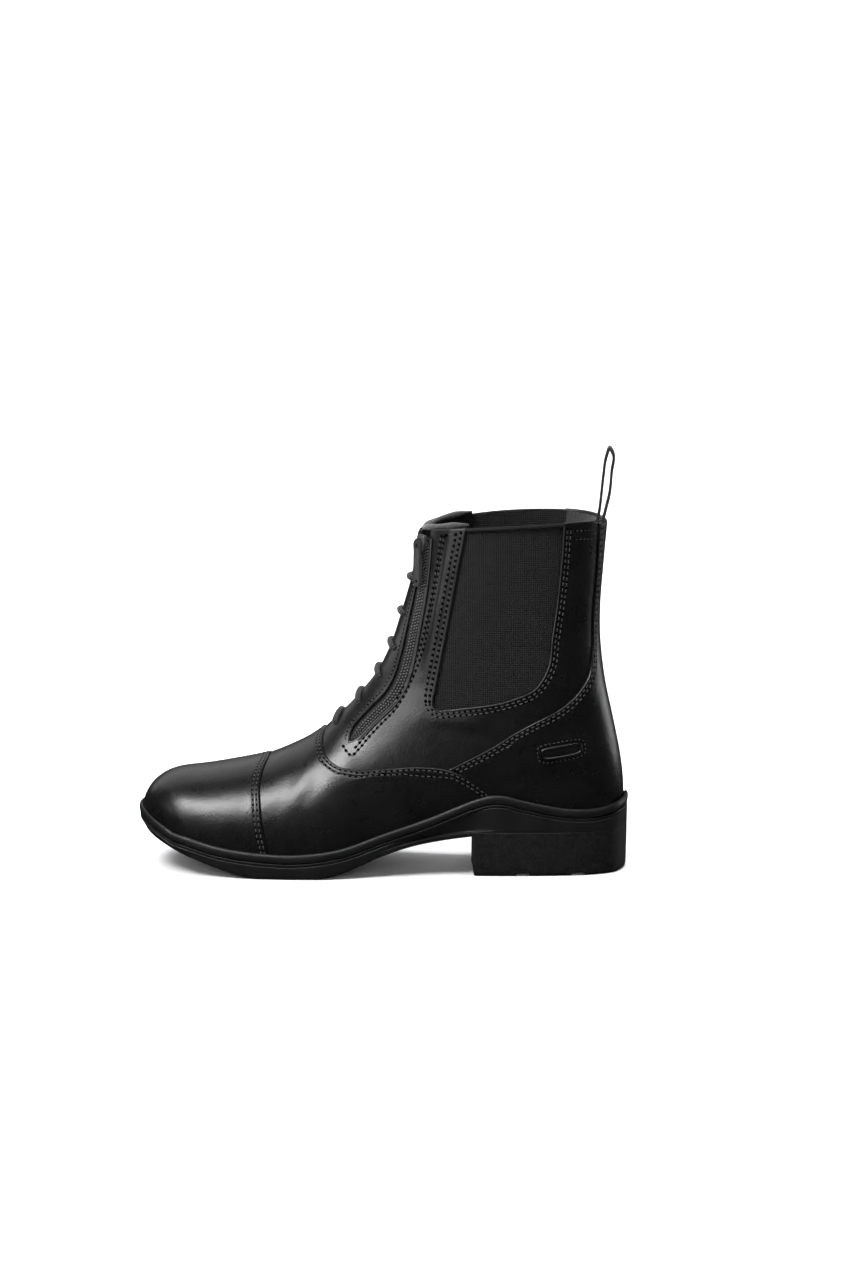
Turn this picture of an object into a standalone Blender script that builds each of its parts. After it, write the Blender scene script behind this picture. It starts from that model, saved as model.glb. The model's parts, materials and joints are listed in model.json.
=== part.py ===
"""A left jodhpur boot with toe cap, laced front, side zip and elastic gussets.

Sizes are millimetres, turned into metres where a mesh is made. The toe points to -X, the outer
(lateral) side faces -Y and the boot stands on Z = 0.
"""
import math

import bmesh
import bpy
import numpy as np
from mathutils import Matrix, Vector
from mathutils.bvhtree import BVHTree

MM = 0.001
MERGE = 0.00001
FAR = 80.0
BEYOND = 200.0
CLEAR_OF_MIDDLE = 4.0
CUT_LIFT = 4.0
CUT_DEPTH = 10.0

# Driving sizes of the boot
HEEL_HEIGHT = 25.0
HEEL_BREAST_X = 52.7
BEAD_HEIGHT = 4.8
BEAD_REACH = 4.0
WALL = 2.2
OVERLAY = 0.9
TOE_CAP_THICK = 1.2
ELASTIC = 1.2
GAP = 0.3
INSOLE_THICK = 3.0
INSOLE_INSETS = (1.8, 2.8)
LACE_RADIUS = 1.65
ZIP_HALF_WIDTH = 4.5
LOOP_WIDTH = 11.0
LOOP_THICK = 1.1

# The upper is a fan of girth sections from the edge of the toe to the collar. Each lies in a plane
# from a front point on the ridge to a rear point on the feather edge or up the middle of the back.
# lateral and medial are the greatest half widths, sweep the turn from ridge to rear in degrees,
# front_full and rear_full the roundness of each half (2 is an ellipse, more is squarer), swing the
# shift of the ridge towards the big toe and crown the rise of a section's sides above its plane.
FAN_COLUMNS = (
    "front_x", "front_z", "rear_x", "rear_z", "lateral", "medial",
    "sweep", "front_full", "rear_full", "swing", "crown",
)
FAN = (
    (-135.0, 29.2, -113.0, 19.2, 31.0, 36.5, 70.0, 2.20, 2.2, 4.0, 0.0),
    (-134.0, 37.0, -110.0, 18.2, 34.2, 39.2, 78.0, 2.30, 2.3, 4.0, 0.0),
    (-128.6, 44.8, -105.0, 16.8, 37.3, 41.4, 86.0, 2.40, 2.4, 4.5, 0.0),
    (-117.6, 50.3, -98.0, 14.8, 39.5, 42.2, 93.0, 2.45, 2.4, 5.0, 0.0),
    (-96.0, 53.4, -86.0, 12.2, 42.3, 43.0, 98.0, 2.40, 2.4, 5.5, 0.0),
    (-65.6, 59.8, -67.0, 10.0, 44.8, 42.8, 101.0, 2.30, 2.3, 6.0, 0.0),
    (-47.6, 67.3, -46.0, 9.4, 45.8, 41.6, 102.0, 2.20, 2.2, 6.0, 0.0),
    (-35.5, 74.8, -22.0, 12.4, 44.4, 38.4, 106.0, 2.10, 2.1, 5.0, 0.0),
    (-28.0, 82.0, 2.0, 20.4, 40.2, 34.2, 110.0, 2.05, 2.0, 4.0, 0.0),
    (-20.6, 89.0, 28.0, 28.9, 35.6, 31.6, 113.0, 2.00, 2.0, 3.0, 0.0),
    (-14.0, 96.0, 54.0, 39.2, 33.2, 31.0, 115.0, 2.00, 2.0, 2.0, 0.0),
    (-9.5, 101.5, 67.5, 41.7, 32.6, 31.0, 116.5, 2.00, 2.0, 1.5, 0.0),
    (-5.5, 106.5, 82.0, 38.4, 32.2, 31.2, 119.5, 2.00, 2.0, 1.2, 0.0),
    (-2.5, 111.0, 104.0, 34.0, 31.8, 31.4, 124.5, 2.00, 2.05, 1.0, 0.0),
    (-0.3, 114.8, 120.5, 33.4, 31.6, 31.4, 134.0, 2.00, 2.15, 0.7, 0.0),
    (1.5, 118.4, 131.0, 35.6, 31.4, 31.4, 150.0, 1.95, 2.25, 0.4, 0.0),
    (3.3, 122.4, 135.2, 38.6, 31.4, 31.4, 180.0, 1.90, 2.3, 0.0, 0.0),
    (5.4, 127.5, 135.2, 52.0, 31.8, 31.8, 180.0, 1.88, 2.3, 0.0, 0.0),
    (7.5, 133.5, 133.0, 68.0, 32.2, 32.2, 180.0, 1.86, 2.25, 0.0, 0.0),
    (9.8, 141.0, 128.8, 88.0, 32.4, 32.4, 180.0, 1.85, 2.2, 0.0, 0.0),
    (12.2, 149.0, 124.6, 108.0, 32.6, 32.6, 180.0, 1.85, 2.2, 0.0, 0.2),
    (14.7, 157.5, 122.0, 130.0, 33.0, 33.0, 180.0, 1.85, 2.2, 0.0, 0.6),
    (17.0, 166.5, 121.8, 150.0, 33.4, 33.4, 180.0, 1.85, 2.2, 0.0, 1.4),
    (18.8, 178.0, 123.3, 172.0, 34.0, 34.0, 180.0, 1.85, 2.2, 0.0, 2.6),
    (20.5, 190.5, 125.4, 196.8, 34.6, 34.6, 180.0, 1.85, 2.2, 0.0, 4.2),
)
HEEL_ROW = 16
COLLAR_ROW = len(FAN) - 1
HALF_STEP_ROWS = (4, 5, 6, 7, 8, 9, 13, 14, 15)
COLUMNS_EACH_SIDE = 9

# Height of the tread along the sole, x and z, with the flat forefoot between the two zero rows
TREAD = (
    (-139.0, 22.4), (-131.0, 19.0), (-116.0, 13.5), (-101.0, 8.6), (-87.0, 4.2), (-76.0, 1.0),
    (-68.5, 0.0), (-33.0, 0.0), (-22.0, 2.6), (-10.0, 7.2), (3.0, 12.6), (18.0, 17.2),
    (36.0, 20.6), (52.0, 22.6), (139.0, 22.6),
)

# Depth of the wall's draw under the toe and of the waist's recess, and where each comes and goes
TOE_UNDERCUT = 2.6
TOE_UNDERCUT_RUN = (-141.0, -139.0, -128.0, -95.0)
WAIST_RECESS = 2.8
WAIST_RUN = (2.0, 24.0, 46.0, 66.0)

# Side of the outsole from its seat down to the tread: reach beside the bead's, shares of the waist's
# recess and the toe's undercut, and the rise from the feather edge or from the tread
SOLE_PROFILE = (
    (-1.2, 0.0, 0.0, "feather", -0.55),
    (-0.5, 0.0, 0.0, "feather", -0.8),
    (-0.5, 0.0, 0.0, "feather", -1.6),
    (-1.1, 0.0, 0.0, "feather", -2.0),
    (-0.5, 0.4, 0.0, "feather", -2.5),
    (-0.6, 1.0, 0.5, "tread", 3.3),
    (-0.6, 0.0, 0.6, "tread", 2.5),
    (-0.8, 0.0, 0.9, "tread", 0.7),
    (-1.8, 0.0, 1.0, "tread", 0.0),
)

# Seams as seen from the side, x and z
CAP_SEAM = (
    (-61.4, 70.0), (-62.9, 62.3), (-65.5, 57.6), (-67.0, 50.3), (-66.2, 40.1), (-64.3, 26.9),
    (-61.4, 14.1), (-60.6, 8.0),
)
VAMP_SEAM = (
    (-29.6, 92.0), (-30.5, 82.3), (-32.8, 73.9), (-29.9, 66.3), (-23.3, 61.8), (-13.0, 60.0),
    (6.7, 61.0), (22.0, 62.1), (39.2, 60.3), (48.5, 56.8), (54.7, 53.1), (61.5, 47.6), (66.0, 43.0),
)
COUNTER_SEAM = (
    (66.6, 43.0), (62.1, 47.9), (55.2, 53.6), (48.9, 57.4), (40.6, 61.2), (65.1, 74.3),
    (76.2, 81.8), (87.5, 88.1), (99.9, 94.4), (110.0, 102.5), (116.5, 112.0), (118.3, 125.0),
    (118.6, 145.0), (120.0, 165.0), (122.2, 205.0),
)
GUSSET = (
    (48.6, 205.0), (48.0, 196.0), (29.8, 97.6), (33.3, 92.9), (56.7, 96.1), (65.2, 97.6),
    (79.2, 102.0), (86.5, 105.4), (91.2, 111.0), (94.4, 117.2), (99.4, 152.3), (103.1, 196.1),
    (103.7, 205.0),
)
ZIP_PATH = (
    (-16.8, 74.4), (-10.7, 82.3), (-2.3, 91.2), (5.9, 99.7), (10.8, 108.7), (14.0, 119.2),
    (17.6, 136.2), (22.4, 161.7), (24.3, 178.0), (25.2, 189.0),
)
BADGE_CENTRE = (101.7, 71.3)
BADGE_SIZE = (23.0, 7.5)
BADGE_TILT = 8.5

# Heights of the bars of lace on the ridge, how far each reaches to either side, and how much lower
# than its middle a bar's lateral end lies
LACE_HEIGHTS = (86.6, 98.8, 113.0, 128.4, 146.0, 165.0)
LACE_REACHES = (10.0, 9.2, 8.4, 7.8, 7.0, 6.8)
LACE_SLANTS = (3.5, 3.5, 3.0, 2.0, 0.6, 0.3)
SLIT_FOOT = 7.85
PAST_COLLAR = 14.0
SLIT_HALF_WIDTHS = (2.2, 2.8)
TONGUE_FOOT = 7.2
TONGUE_COLUMNS = 3
TONGUE_THICK = 1.5
TONGUE_RISE = 1.5
TONGUE_CLEAR = 0.5

# Zip slider and its hanging pull tab
SLIDER_SIZE = (7.6, 9.0, 2.6)
BAIL_RADII = (1.4, 2.5)
BAIL_HALF_WIDTH = 1.0
PULL_SIZE = (6.0, 25.5, 1.4)
PULL_TILT = 5.0

# Pull loop as seen from the side, x and z, from inside the collar over the top to the rim
LOOP_PATH = (
    (121.9, 202.5), (122.9, 211.0), (124.2, 223.6), (125.8, 234.0), (127.6, 238.4), (129.3, 235.6),
    (128.7, 224.8), (127.5, 212.3), (125.4, 203.4), (124.3, 198.5),
)
LOOP_HIDDEN = (184.0, 190.0, 196.0)
LOOP_BEHIND = 2.3


def fan_row(place):
    """Values of the girth section at a place along the fan, blended smoothly between rows"""
    index = min(max(int(place), 0), len(FAN) - 2)
    t = place - index
    before, here, there, after = (
        np.array(FAN[min(max(index + step, 0), len(FAN) - 1)]) for step in (-1, 0, 1, 2)
    )
    leave = (there - before) / 2
    arrive = (after - here) / 2
    values = (
        (2 * t**3 - 3 * t**2 + 1) * here + (t**3 - 2 * t**2 + t) * leave
        + (3 * t**2 - 2 * t**3) * there + (t**3 - t**2) * arrive
    )
    return dict(zip(FAN_COLUMNS, values))


def bent(value, full):
    """Sine or cosine of a turn, bent towards a square by its fullness"""
    return math.copysign(abs(value) ** (2 / full), value)


def along_section(row, turn):
    """Share of the way from the ridge to the rear point after a turn in radians"""
    sweep = math.radians(min(row["sweep"], 180.0))
    end_full = row["rear_full"] if sweep > math.pi / 2 else row["front_full"]
    full = row["front_full"] if turn < math.pi / 2 else row["rear_full"]
    return (1 - bent(math.cos(turn), full)) / (1 - bent(math.cos(sweep), end_full))


def skin(place, side, share):
    """Point of the upper's outer face: side -1 is lateral, share runs from ridge to rear point"""
    row = fan_row(place)
    turn = share * math.radians(min(row["sweep"], 180.0))
    full = row["front_full"] if turn < math.pi / 2 else row["rear_full"]
    along = along_section(row, turn)
    rise = max(math.sin(turn), 0.0)
    half = row["lateral"] if side < 0 else row["medial"]
    return Vector((
        row["front_x"] + (row["rear_x"] - row["front_x"]) * along,
        row["swing"] * (1 - along) + side * half * bent(rise, full),
        row["front_z"] + (row["rear_z"] - row["front_z"]) * along + row["crown"] * rise,
    ))


def solve(test, low, high):
    """Where a rising test crosses zero"""
    for _ in range(40):
        middle = (low + high) / 2
        if test(middle) < 0:
            low = middle
        else:
            high = middle
    return (low + high) / 2


def side_place(x, z):
    """Place along the fan and share around it of a point seen from the side"""
    def above(place):
        row = fan_row(place)
        run = row["rear_x"] - row["front_x"]
        drop = row["rear_z"] - row["front_z"]
        return run * (z - row["front_z"]) - drop * (x - row["front_x"])
    place = solve(lambda p: -above(p), 0.0, COLLAR_ROW)
    row = fan_row(place)
    run = row["rear_x"] - row["front_x"]
    drop = row["rear_z"] - row["front_z"]
    along = ((x - row["front_x"]) * run + (z - row["front_z"]) * drop) / (run**2 + drop**2)
    sweep = math.radians(min(row["sweep"], 180.0))
    share = solve(lambda s: along_section(row, s * sweep) - along, 0.0, 1.0)
    return place, share


def skin_frame(place, side, share, along=0.02):
    """Outward normal of the skin, from two short steps on it"""
    here = skin(place, side, share)
    up = skin(min(place + along, COLLAR_ROW), side, share) - skin(place - along, side, share)
    around = skin(place, side, share + along) - skin(place, side, max(share - along, 0.0))
    return here, (up.cross(around) * side).normalized()


def wrapped_grid(bm, columns, rows, place):
    """Add a grid of quads whose corners are moved to place(a, b), a and b running from 0 to 1"""
    grid = bmesh.ops.create_grid(bm, x_segments=columns, y_segments=rows, size=0.5)
    for vert in grid["verts"]:
        vert.co = Vector(place(vert.co.x + 0.5, vert.co.y + 0.5)) * MM


def lofted(rings, capped=True):
    """Body through rings of matching points, closed across from side to side at both ends"""
    bm = bmesh.new()
    count = len(rings[0])
    last = len(rings) - 1
    wrapped_grid(bm, count, last, lambda a, b: rings[round(b * last)][round(a * count) % count])
    if capped:
        for ring in (rings[0], rings[-1]):
            half = count // 2
            wrapped_grid(bm, half, 1, lambda a, b: ring[round(a * half) * (1 if b < 0.5 else -1)])
    bmesh.ops.remove_doubles(bm, verts=bm.verts, dist=MERGE)
    bmesh.ops.dissolve_degenerate(bm, dist=MERGE, edges=bm.edges)
    bmesh.ops.recalc_face_normals(bm, faces=bm.faces)
    return bm


def extruded(outline, low, high, direction="Y"):
    """Prism of an outline drawn in X and Z and drawn out along Y, or in X and Y along Z"""
    bm = bmesh.new()
    if direction == "Y":
        corners = [bm.verts.new((x * MM, low * MM, z * MM)) for x, z in outline]
        step = Vector((0, high - low, 0)) * MM
    else:
        corners = [bm.verts.new((x * MM, y * MM, low * MM)) for x, y in outline]
        step = Vector((0, 0, high - low)) * MM
    face = bm.faces.new(corners)
    grown = bmesh.ops.extrude_face_region(bm, geom=[face])
    moved = [item for item in grown["geom"] if isinstance(item, bmesh.types.BMVert)]
    bmesh.ops.translate(bm, verts=moved, vec=step)
    bmesh.ops.recalc_face_normals(bm, faces=bm.faces)
    return bm


def shrunk(outline, amount):
    """Outline moved inwards by an amount along its corners' bisectors"""
    points = [Vector(p) for p in outline]
    turn = sum(a.x * b.y - b.x * a.y for a, b in zip(points, points[1:] + points[:1]))
    result = []
    for index, here in enumerate(points):
        before = (here - points[index - 1]).normalized()
        after = (points[(index + 1) % len(points)] - here).normalized()
        inward = [Vector((-d.y, d.x)) * math.copysign(1, turn) for d in (before, after)]
        bisector = (inward[0] + inward[1]).normalized()
        result.append(here + bisector * amount / max(bisector.dot(inward[0]), 0.4))
    return result


def finish_material(name, colour, roughness, metallic=0.0):
    """Principled material of one finish"""
    material = bpy.data.materials.new(name)
    material.use_nodes = True
    shader = material.node_tree.nodes["Principled BSDF"]
    shader.inputs["Base Color"].default_value = (*colour, 1.0)
    shader.inputs["Roughness"].default_value = roughness
    shader.inputs["Metallic"].default_value = metallic
    return material


def add_object(name, bm, material, smooth=True):
    """Object of a finished mesh, parented to the boot's empty"""
    mesh = bpy.data.meshes.new(name)
    bm.to_mesh(mesh)
    bm.free()
    if smooth:
        mesh.shade_smooth()
        mesh.set_sharp_from_angle(angle=math.radians(35))
    piece = bpy.data.objects.new(name, mesh)
    bpy.context.collection.objects.link(piece)
    piece.parent = boot
    if material:
        mesh.materials.append(material)
    return piece


def add_cutter(name, bm):
    """Object that only cuts another"""
    cutter = add_object(name, bm, None, smooth=False)
    cutter.hide_render = True
    cutter.display_type = "WIRE"
    return cutter


def combine(piece, operation, cutter):
    """Boolean of a piece with a cutter"""
    modifier = piece.modifiers.new(cutter.name, "BOOLEAN")
    modifier.operation = operation
    modifier.object = cutter


def thicken(piece, lift, thick):
    """Lift a skin along its normals, then give it a thickness outwards, or inwards if negative"""
    if lift:
        displace = piece.modifiers.new("lift", "DISPLACE")
        displace.strength = lift * MM
        displace.mid_level = 0.0
    wall = piece.modifiers.new("wall", "SOLIDIFY")
    wall.thickness = abs(thick) * MM
    wall.offset = math.copysign(1.0, thick)
    wall.use_even_offset = True


for leftover in list(bpy.data.objects):
    bpy.data.objects.remove(leftover)
boot = bpy.data.objects.new("boot", None)
bpy.context.collection.objects.link(boot)

leather = finish_material("leather", (0.012, 0.012, 0.013), 0.32)
sole_rubber = finish_material("sole_rubber", (0.016, 0.016, 0.017), 0.6)
elastic_web = finish_material("elastic_web", (0.02, 0.02, 0.022), 0.85)
lining_felt = finish_material("lining_felt", (0.03, 0.03, 0.032), 0.9)
lace_cord = finish_material("lace_cord", (0.01, 0.01, 0.011), 0.7)
zip_coil = finish_material("zip_coil", (0.014, 0.014, 0.015), 0.45)
black_metal = finish_material("black_metal", (0.03, 0.03, 0.032), 0.35, 0.8)

# Stations of the grid along the fan: every row, with half steps along the foot and round the heel
stations = sorted([float(row) for row in range(len(FAN))] + [row + 0.5 for row in HALF_STEP_ROWS])
foot_stations = [place for place in stations if place <= HEEL_ROW]


def skin_sheet():
    """The whole skin of the upper as an open sheet, closed up the back"""
    bm = bmesh.new()
    steps = len(stations) - 1
    def place(a, b):
        return skin(stations[round(a * steps)], -1 if b < 0.5 else 1, abs(2 * b - 1))
    wrapped_grid(bm, steps, 2 * COLUMNS_EACH_SIDE, place)
    bmesh.ops.remove_doubles(bm, verts=bm.verts, dist=MERGE)
    bmesh.ops.triangulate(bm, faces=bm.faces)
    return bm


def skin_piece(name, material):
    """Object of the skin, to be given a thickness"""
    return add_object(name, skin_sheet(), material)


def outward(line, index):
    """Level direction away from a closed line at one of its points"""
    along = line[(index + 1) % len(line)] - line[index - 1]
    return Vector((-along.y, along.x, 0)).normalized()


# Lower edge of the upper from the middle of the heel along the lateral side, round the toe and
# back along the medial side
toe_shares = [step / COLUMNS_EACH_SIDE for step in range(COLUMNS_EACH_SIDE)]
half_edge = [(place, 1.0) for place in reversed(foot_stations)]
half_edge += [(0.0, share) for share in reversed(toe_shares)]
edge = [(place, -1, share) for place, share in half_edge]
edge += [(place, 1, share) for place, share in reversed(half_edge[1:-1])]
feather = [skin(*spot) for spot in edge]

# Line of the skin's widest reach below the top of the bead, found by a level probe from outside
PROBE = 25.0
probe_sheet = skin_sheet()
probe_tree = BVHTree.FromBMesh(probe_sheet)
probe_sheet.free()
bead_line = []
for spot, foot in enumerate(feather):
    away = outward(feather, spot)
    start = foot + away * PROBE + Vector((0, 0, BEAD_HEIGHT))
    reach = PROBE - probe_tree.ray_cast(start * MM, -away)[3] / MM
    bead_line.append(foot + away * max(reach, 0.0))


def edge_ring(offset, height, line=None):
    """Ring of points at a level offset from a line round the boot, each at its own height"""
    line = line or bead_line
    ring = []
    for index, here in enumerate(line):
        reach = offset(here.x) if callable(offset) else offset
        point = here + outward(line, index) * reach
        ring.append(Vector((point.x, point.y, height(feather[index].z, point.x))))
    return ring


def tread(x):
    """Height of the tread at a place along the sole"""
    return float(np.interp(x, *zip(*TREAD)))


def bump(x, start, full_from, full_to, end):
    """1 between the two middle places and 0 outside the outer ones"""
    return float(np.interp(x, (start, full_from, full_to, end), (0, 1, 1, 0)))


def undercut(x):
    """How far the foot of the sole's wall draws in under the toe"""
    return TOE_UNDERCUT * bump(x, *TOE_UNDERCUT_RUN)


def waist_recess(x):
    """How far the wall of the waist lies behind the lip of the tread"""
    return WAIST_RECESS * bump(x, *WAIST_RUN)


# Welt bead, a rounded strip laid on the edge of the outsole
inner_reach = GAP + TOE_CAP_THICK + 2 * GAP
WELT_PROFILE = (
    (inner_reach, 0.0), (inner_reach, BEAD_HEIGHT - 0.9), (inner_reach + 0.8, BEAD_HEIGHT - 0.1),
    (BEAD_REACH - 0.8, BEAD_HEIGHT - 0.7), (BEAD_REACH, BEAD_HEIGHT - 2.2), (BEAD_REACH - 0.1, 1.0),
    (BEAD_REACH - 0.7, 0.0),
)
welt_rings = [
    edge_ring(reach, lambda foot, x, rise=rise: foot + rise) for reach, rise in WELT_PROFILE
]
welt = add_object("welt", lofted(welt_rings + welt_rings[:1], capped=False), sole_rubber)

# Outsole: seat, rib and two grooves below the bead, wall, lip and tread
def sole_ring(reach, recess, draw, datum, rise):
    """Ring of the outsole's side at one step of its profile"""
    return edge_ring(
        lambda x: BEAD_REACH + reach - recess * waist_recess(x) - draw * undercut(x),
        lambda foot, x: (foot if datum == "feather" else tread(x)) + rise,
    )


outsole = add_object("outsole", lofted([sole_ring(*step) for step in SOLE_PROFILE]), sole_rubber)
seat_corners = (
    (HEEL_BREAST_X - GAP, 0.0), (BEYOND, 0.0), (BEYOND, HEEL_HEIGHT + GAP),
    (HEEL_BREAST_X - GAP, HEEL_HEIGHT + GAP),
)
combine(outsole, "DIFFERENCE", add_cutter("heel_seat", extruded(seat_corners, -FAR, FAR)))

# Heel block with two tread channels across its foot
HEEL_PROFILE = ((-0.6, HEEL_HEIGHT), (-1.1, 2.4), (-1.5, 1.0), (-2.6, 0.0))
BREAST_CORNER = 4.0
BREAST_SLOPE = 0.2


def heel_ring(inset, height):
    """D-shaped ring of the heel, starting at the middle of its back, with a straight breast"""
    whole = edge_ring(BEAD_REACH + inset, lambda foot, x: height)
    ring = [point for point in whole if point.x > HEEL_BREAST_X + BREAST_CORNER]
    half = next(index for index, point in enumerate(ring) if point.y > 0 and index > 0)
    breast = [
        Vector((HEEL_BREAST_X - inset * BREAST_SLOPE, side, height))
        for side in (ring[half - 1].y, (ring[half - 1].y + ring[half].y) / 2, ring[half].y)
    ]
    return ring[:half] + breast + ring[half:]


heel = add_object("heel", lofted([heel_ring(*step) for step in HEEL_PROFILE]), sole_rubber)
CHANNELS = ((76.6, 84.0), (107.6, 115.4))
CHANNEL_DEPTH = 2.0
CHANNEL_DRAFT = 0.4
for number, (start, end) in enumerate(CHANNELS, 1):
    corners = (
        (start, -CHANNEL_DEPTH), (end, -CHANNEL_DEPTH), (end - CHANNEL_DRAFT, CHANNEL_DEPTH),
        (start + CHANNEL_DRAFT, CHANNEL_DEPTH),
    )
    combine(heel, "DIFFERENCE", add_cutter(f"heel_channel_{number}", extruded(corners, -FAR, FAR)))

# Insole, a flexible board inside the lower edge of the upper
insole_rings = [
    edge_ring(-WALL - INSOLE_INSETS[0], lambda foot, x: foot, feather),
    edge_ring(-WALL - INSOLE_INSETS[1], lambda foot, x: foot + INSOLE_THICK, feather),
]
insole = add_object("insole", lofted(insole_rings), lining_felt)

# Upper: one leather wall, open at the collar, at the laced slit, at the zip and at both gussets
upper = skin_piece("upper", leather)
thicken(upper, 0.0, -WALL)


def strip_sheet(spots, half_width):
    """Sheet along spots on the skin, each a centre, a direction across and a half width"""
    bm = bmesh.new()
    last = len(spots) - 1
    def place(a, b):
        centre, across = spots[round(a * last)]
        wide = half_width(a) if callable(half_width) else half_width
        return centre + across * wide * (2 * b - 1)
    wrapped_grid(bm, last, 2, place)
    return bm


slit_places = [SLIT_FOOT] + [place for place in stations if place > SLIT_FOOT]
ridge = [skin(place, 1, 0.0) for place in slit_places]
ridge.append(ridge[-1] + (ridge[-1] - ridge[-2]).normalized() * PAST_COLLAR)
slit_spots = [(spot, Vector((0, 1, 0))) for spot in ridge]


def slit_width(a):
    """Half width of the slit, widening from its foot to the collar"""
    return SLIT_HALF_WIDTHS[0] + (SLIT_HALF_WIDTHS[1] - SLIT_HALF_WIDTHS[0]) * a


slit = add_cutter("front_slit", strip_sheet(slit_spots, slit_width))
thicken(slit, CUT_LIFT, -CUT_DEPTH)
combine(upper, "DIFFERENCE", slit)


def zip_spots(path):
    """Centres and directions across for a strip along the zip's path"""
    frames = []
    for x, z in path:
        place, share = side_place(x, z)
        frames.append(skin_frame(place, -1, share))
    spots = []
    for index, (centre, normal) in enumerate(frames):
        along = frames[min(index + 1, len(frames) - 1)][0] - frames[max(index - 1, 0)][0]
        spots.append((centre, normal.cross(along).normalized()))
    return spots


zip_line = zip_spots(ZIP_PATH)
zip_top = zip_line[-1][0] + (zip_line[-1][0] - zip_line[-2][0]).normalized() * PAST_COLLAR
slot_line = zip_line + [(zip_top, zip_line[-1][1])]
zip_slot = add_cutter("zip_slot", strip_sheet(slot_line, ZIP_HALF_WIDTH))
thicken(zip_slot, CUT_LIFT, -CUT_DEPTH)
combine(upper, "DIFFERENCE", zip_slot)
SIDES = (("lateral", -FAR, -CLEAR_OF_MIDDLE), ("medial", CLEAR_OF_MIDDLE, FAR))
for side_name, low, high in SIDES:
    combine(upper, "DIFFERENCE", add_cutter(f"window_{side_name}", extruded(GUSSET, low, high)))

# Elastic gussets, set into the windows of the upper
for side_name, low, high in SIDES:
    gusset = skin_piece(f"gusset_{side_name}", elastic_web)
    thicken(gusset, -WALL / 2 - ELASTIC / 2, ELASTIC)
    panel = add_cutter(f"gusset_panel_{side_name}", extruded(shrunk(GUSSET, GAP), low, high))
    combine(gusset, "INTERSECT", panel)

# Overlays stitched on the upper: vamp, toe cap, and heel counter with its strip up the back
LOWER_CLEAR = 0.9
EDGE_RUN_OUT = 8.0
EDGE_LIFTS = (3.6, 2.2)
toe_edge = skin(0.0, 1, 0.0)
heel_edge = skin(HEEL_ROW, 1, 1.0)
edge_view = [(toe_edge.x - EDGE_RUN_OUT, toe_edge.z + LOWER_CLEAR + EDGE_LIFTS[0])]
edge_view += [(p.x, p.z + LOWER_CLEAR) for p in [skin(place, -1, 1.0) for place in foot_stations]]
edge_view.append((heel_edge.x + EDGE_RUN_OUT, heel_edge.z + LOWER_CLEAR + EDGE_LIFTS[1]))


def edge_height(x):
    """Height of the overlays' lower edge at a place along the boot"""
    return float(np.interp(x, *zip(*edge_view)))


def lower_run(start, end):
    """Lower edge of an overlay seen from the side, between two places along the boot"""
    inner = [point for point in edge_view if start < point[0] < end]
    return [(start, edge_height(start))] + inner + [(end, edge_height(end))]


def above_edge(points):
    """The points of a seam that lie above the overlays' lower edge"""
    return [(x, z) for x, z in points if z > edge_height(x) + LOWER_CLEAR]


cap_seam = above_edge(CAP_SEAM)
vamp_seam = above_edge(VAMP_SEAM)
counter_seam = above_edge(COUNTER_SEAM)
cap_foot_x = CAP_SEAM[-2][0]
vamp_foot_x = VAMP_SEAM[-2][0]
counter_foot_x = COUNTER_SEAM[1][0]
cap_outline = [(-BEYOND, CAP_SEAM[0][1])] + cap_seam
cap_outline += reversed(lower_run(edge_view[0][0], cap_foot_x))
vamp_outline = [(x + GAP, z) for x, z in reversed(cap_seam)] + vamp_seam
vamp_outline += reversed(lower_run(cap_foot_x + GAP, vamp_foot_x))
counter_outline = counter_seam + [(BEYOND, COUNTER_SEAM[-1][1])]
counter_outline += reversed(lower_run(counter_foot_x, edge_view[-1][0]))
OVERLAYS = (
    ("toe_cap", cap_outline, TOE_CAP_THICK),
    ("vamp", vamp_outline, OVERLAY),
    ("counter", counter_outline, OVERLAY),
)
for name, outline, thick in OVERLAYS:
    overlay = skin_piece(name, leather)
    thicken(overlay, GAP, thick)
    combine(overlay, "INTERSECT", add_cutter(f"{name}_outline", extruded(outline, -FAR, FAR)))

# Bare raised badge on the lateral side of the counter
badge_corner = BADGE_SIZE[1] * 0.42
BADGE_ARC_STEPS = 3


def rounded_corners(size, radius, steps):
    """Outline of a rectangle with round corners about its centre"""
    outline = []
    for quarter, (sx, sy) in enumerate(((1, 1), (-1, 1), (-1, -1), (1, -1))):
        for step in range(steps + 1):
            turn = math.radians(90 * (quarter + step / steps))
            outline.append((
                sx * (size[0] / 2 - radius) + radius * math.cos(turn),
                sy * (size[1] / 2 - radius) + radius * math.sin(turn),
            ))
    return outline


def turned(outline, degrees, centre):
    """Outline turned about its centre and moved to a place"""
    c = math.cos(math.radians(degrees))
    s = math.sin(math.radians(degrees))
    return [(centre[0] + x * c - y * s, centre[1] + x * s + y * c) for x, y in outline]


badge_outline = turned(
    rounded_corners(BADGE_SIZE, badge_corner, BADGE_ARC_STEPS), BADGE_TILT, BADGE_CENTRE)
badge = skin_piece("badge", leather)
thicken(badge, GAP + OVERLAY + GAP, OVERLAY)
combine(badge, "INTERSECT", add_cutter("badge_outline", extruded(badge_outline, -FAR, -CLEAR_OF_MIDDLE)))

# Tongue behind the laced slit, rising a little above the front of the collar
tongue_places = [TONGUE_FOOT] + [row for row in range(len(FAN)) if row > TONGUE_FOOT]


def tongue_point(a, b):
    """Point of the skin in front of the tongue, carried on past the collar in the last row"""
    index = round(a * len(tongue_places))
    place = tongue_places[min(index, len(tongue_places) - 1)]
    side = -1 if b < 0.5 else 1
    share = abs(2 * b - 1) * TONGUE_COLUMNS / COLUMNS_EACH_SIDE
    point = skin(place, side, share)
    if index == len(tongue_places):
        point += (point - skin(place - 1, side, share)).normalized() * TONGUE_RISE
    return point


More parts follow.
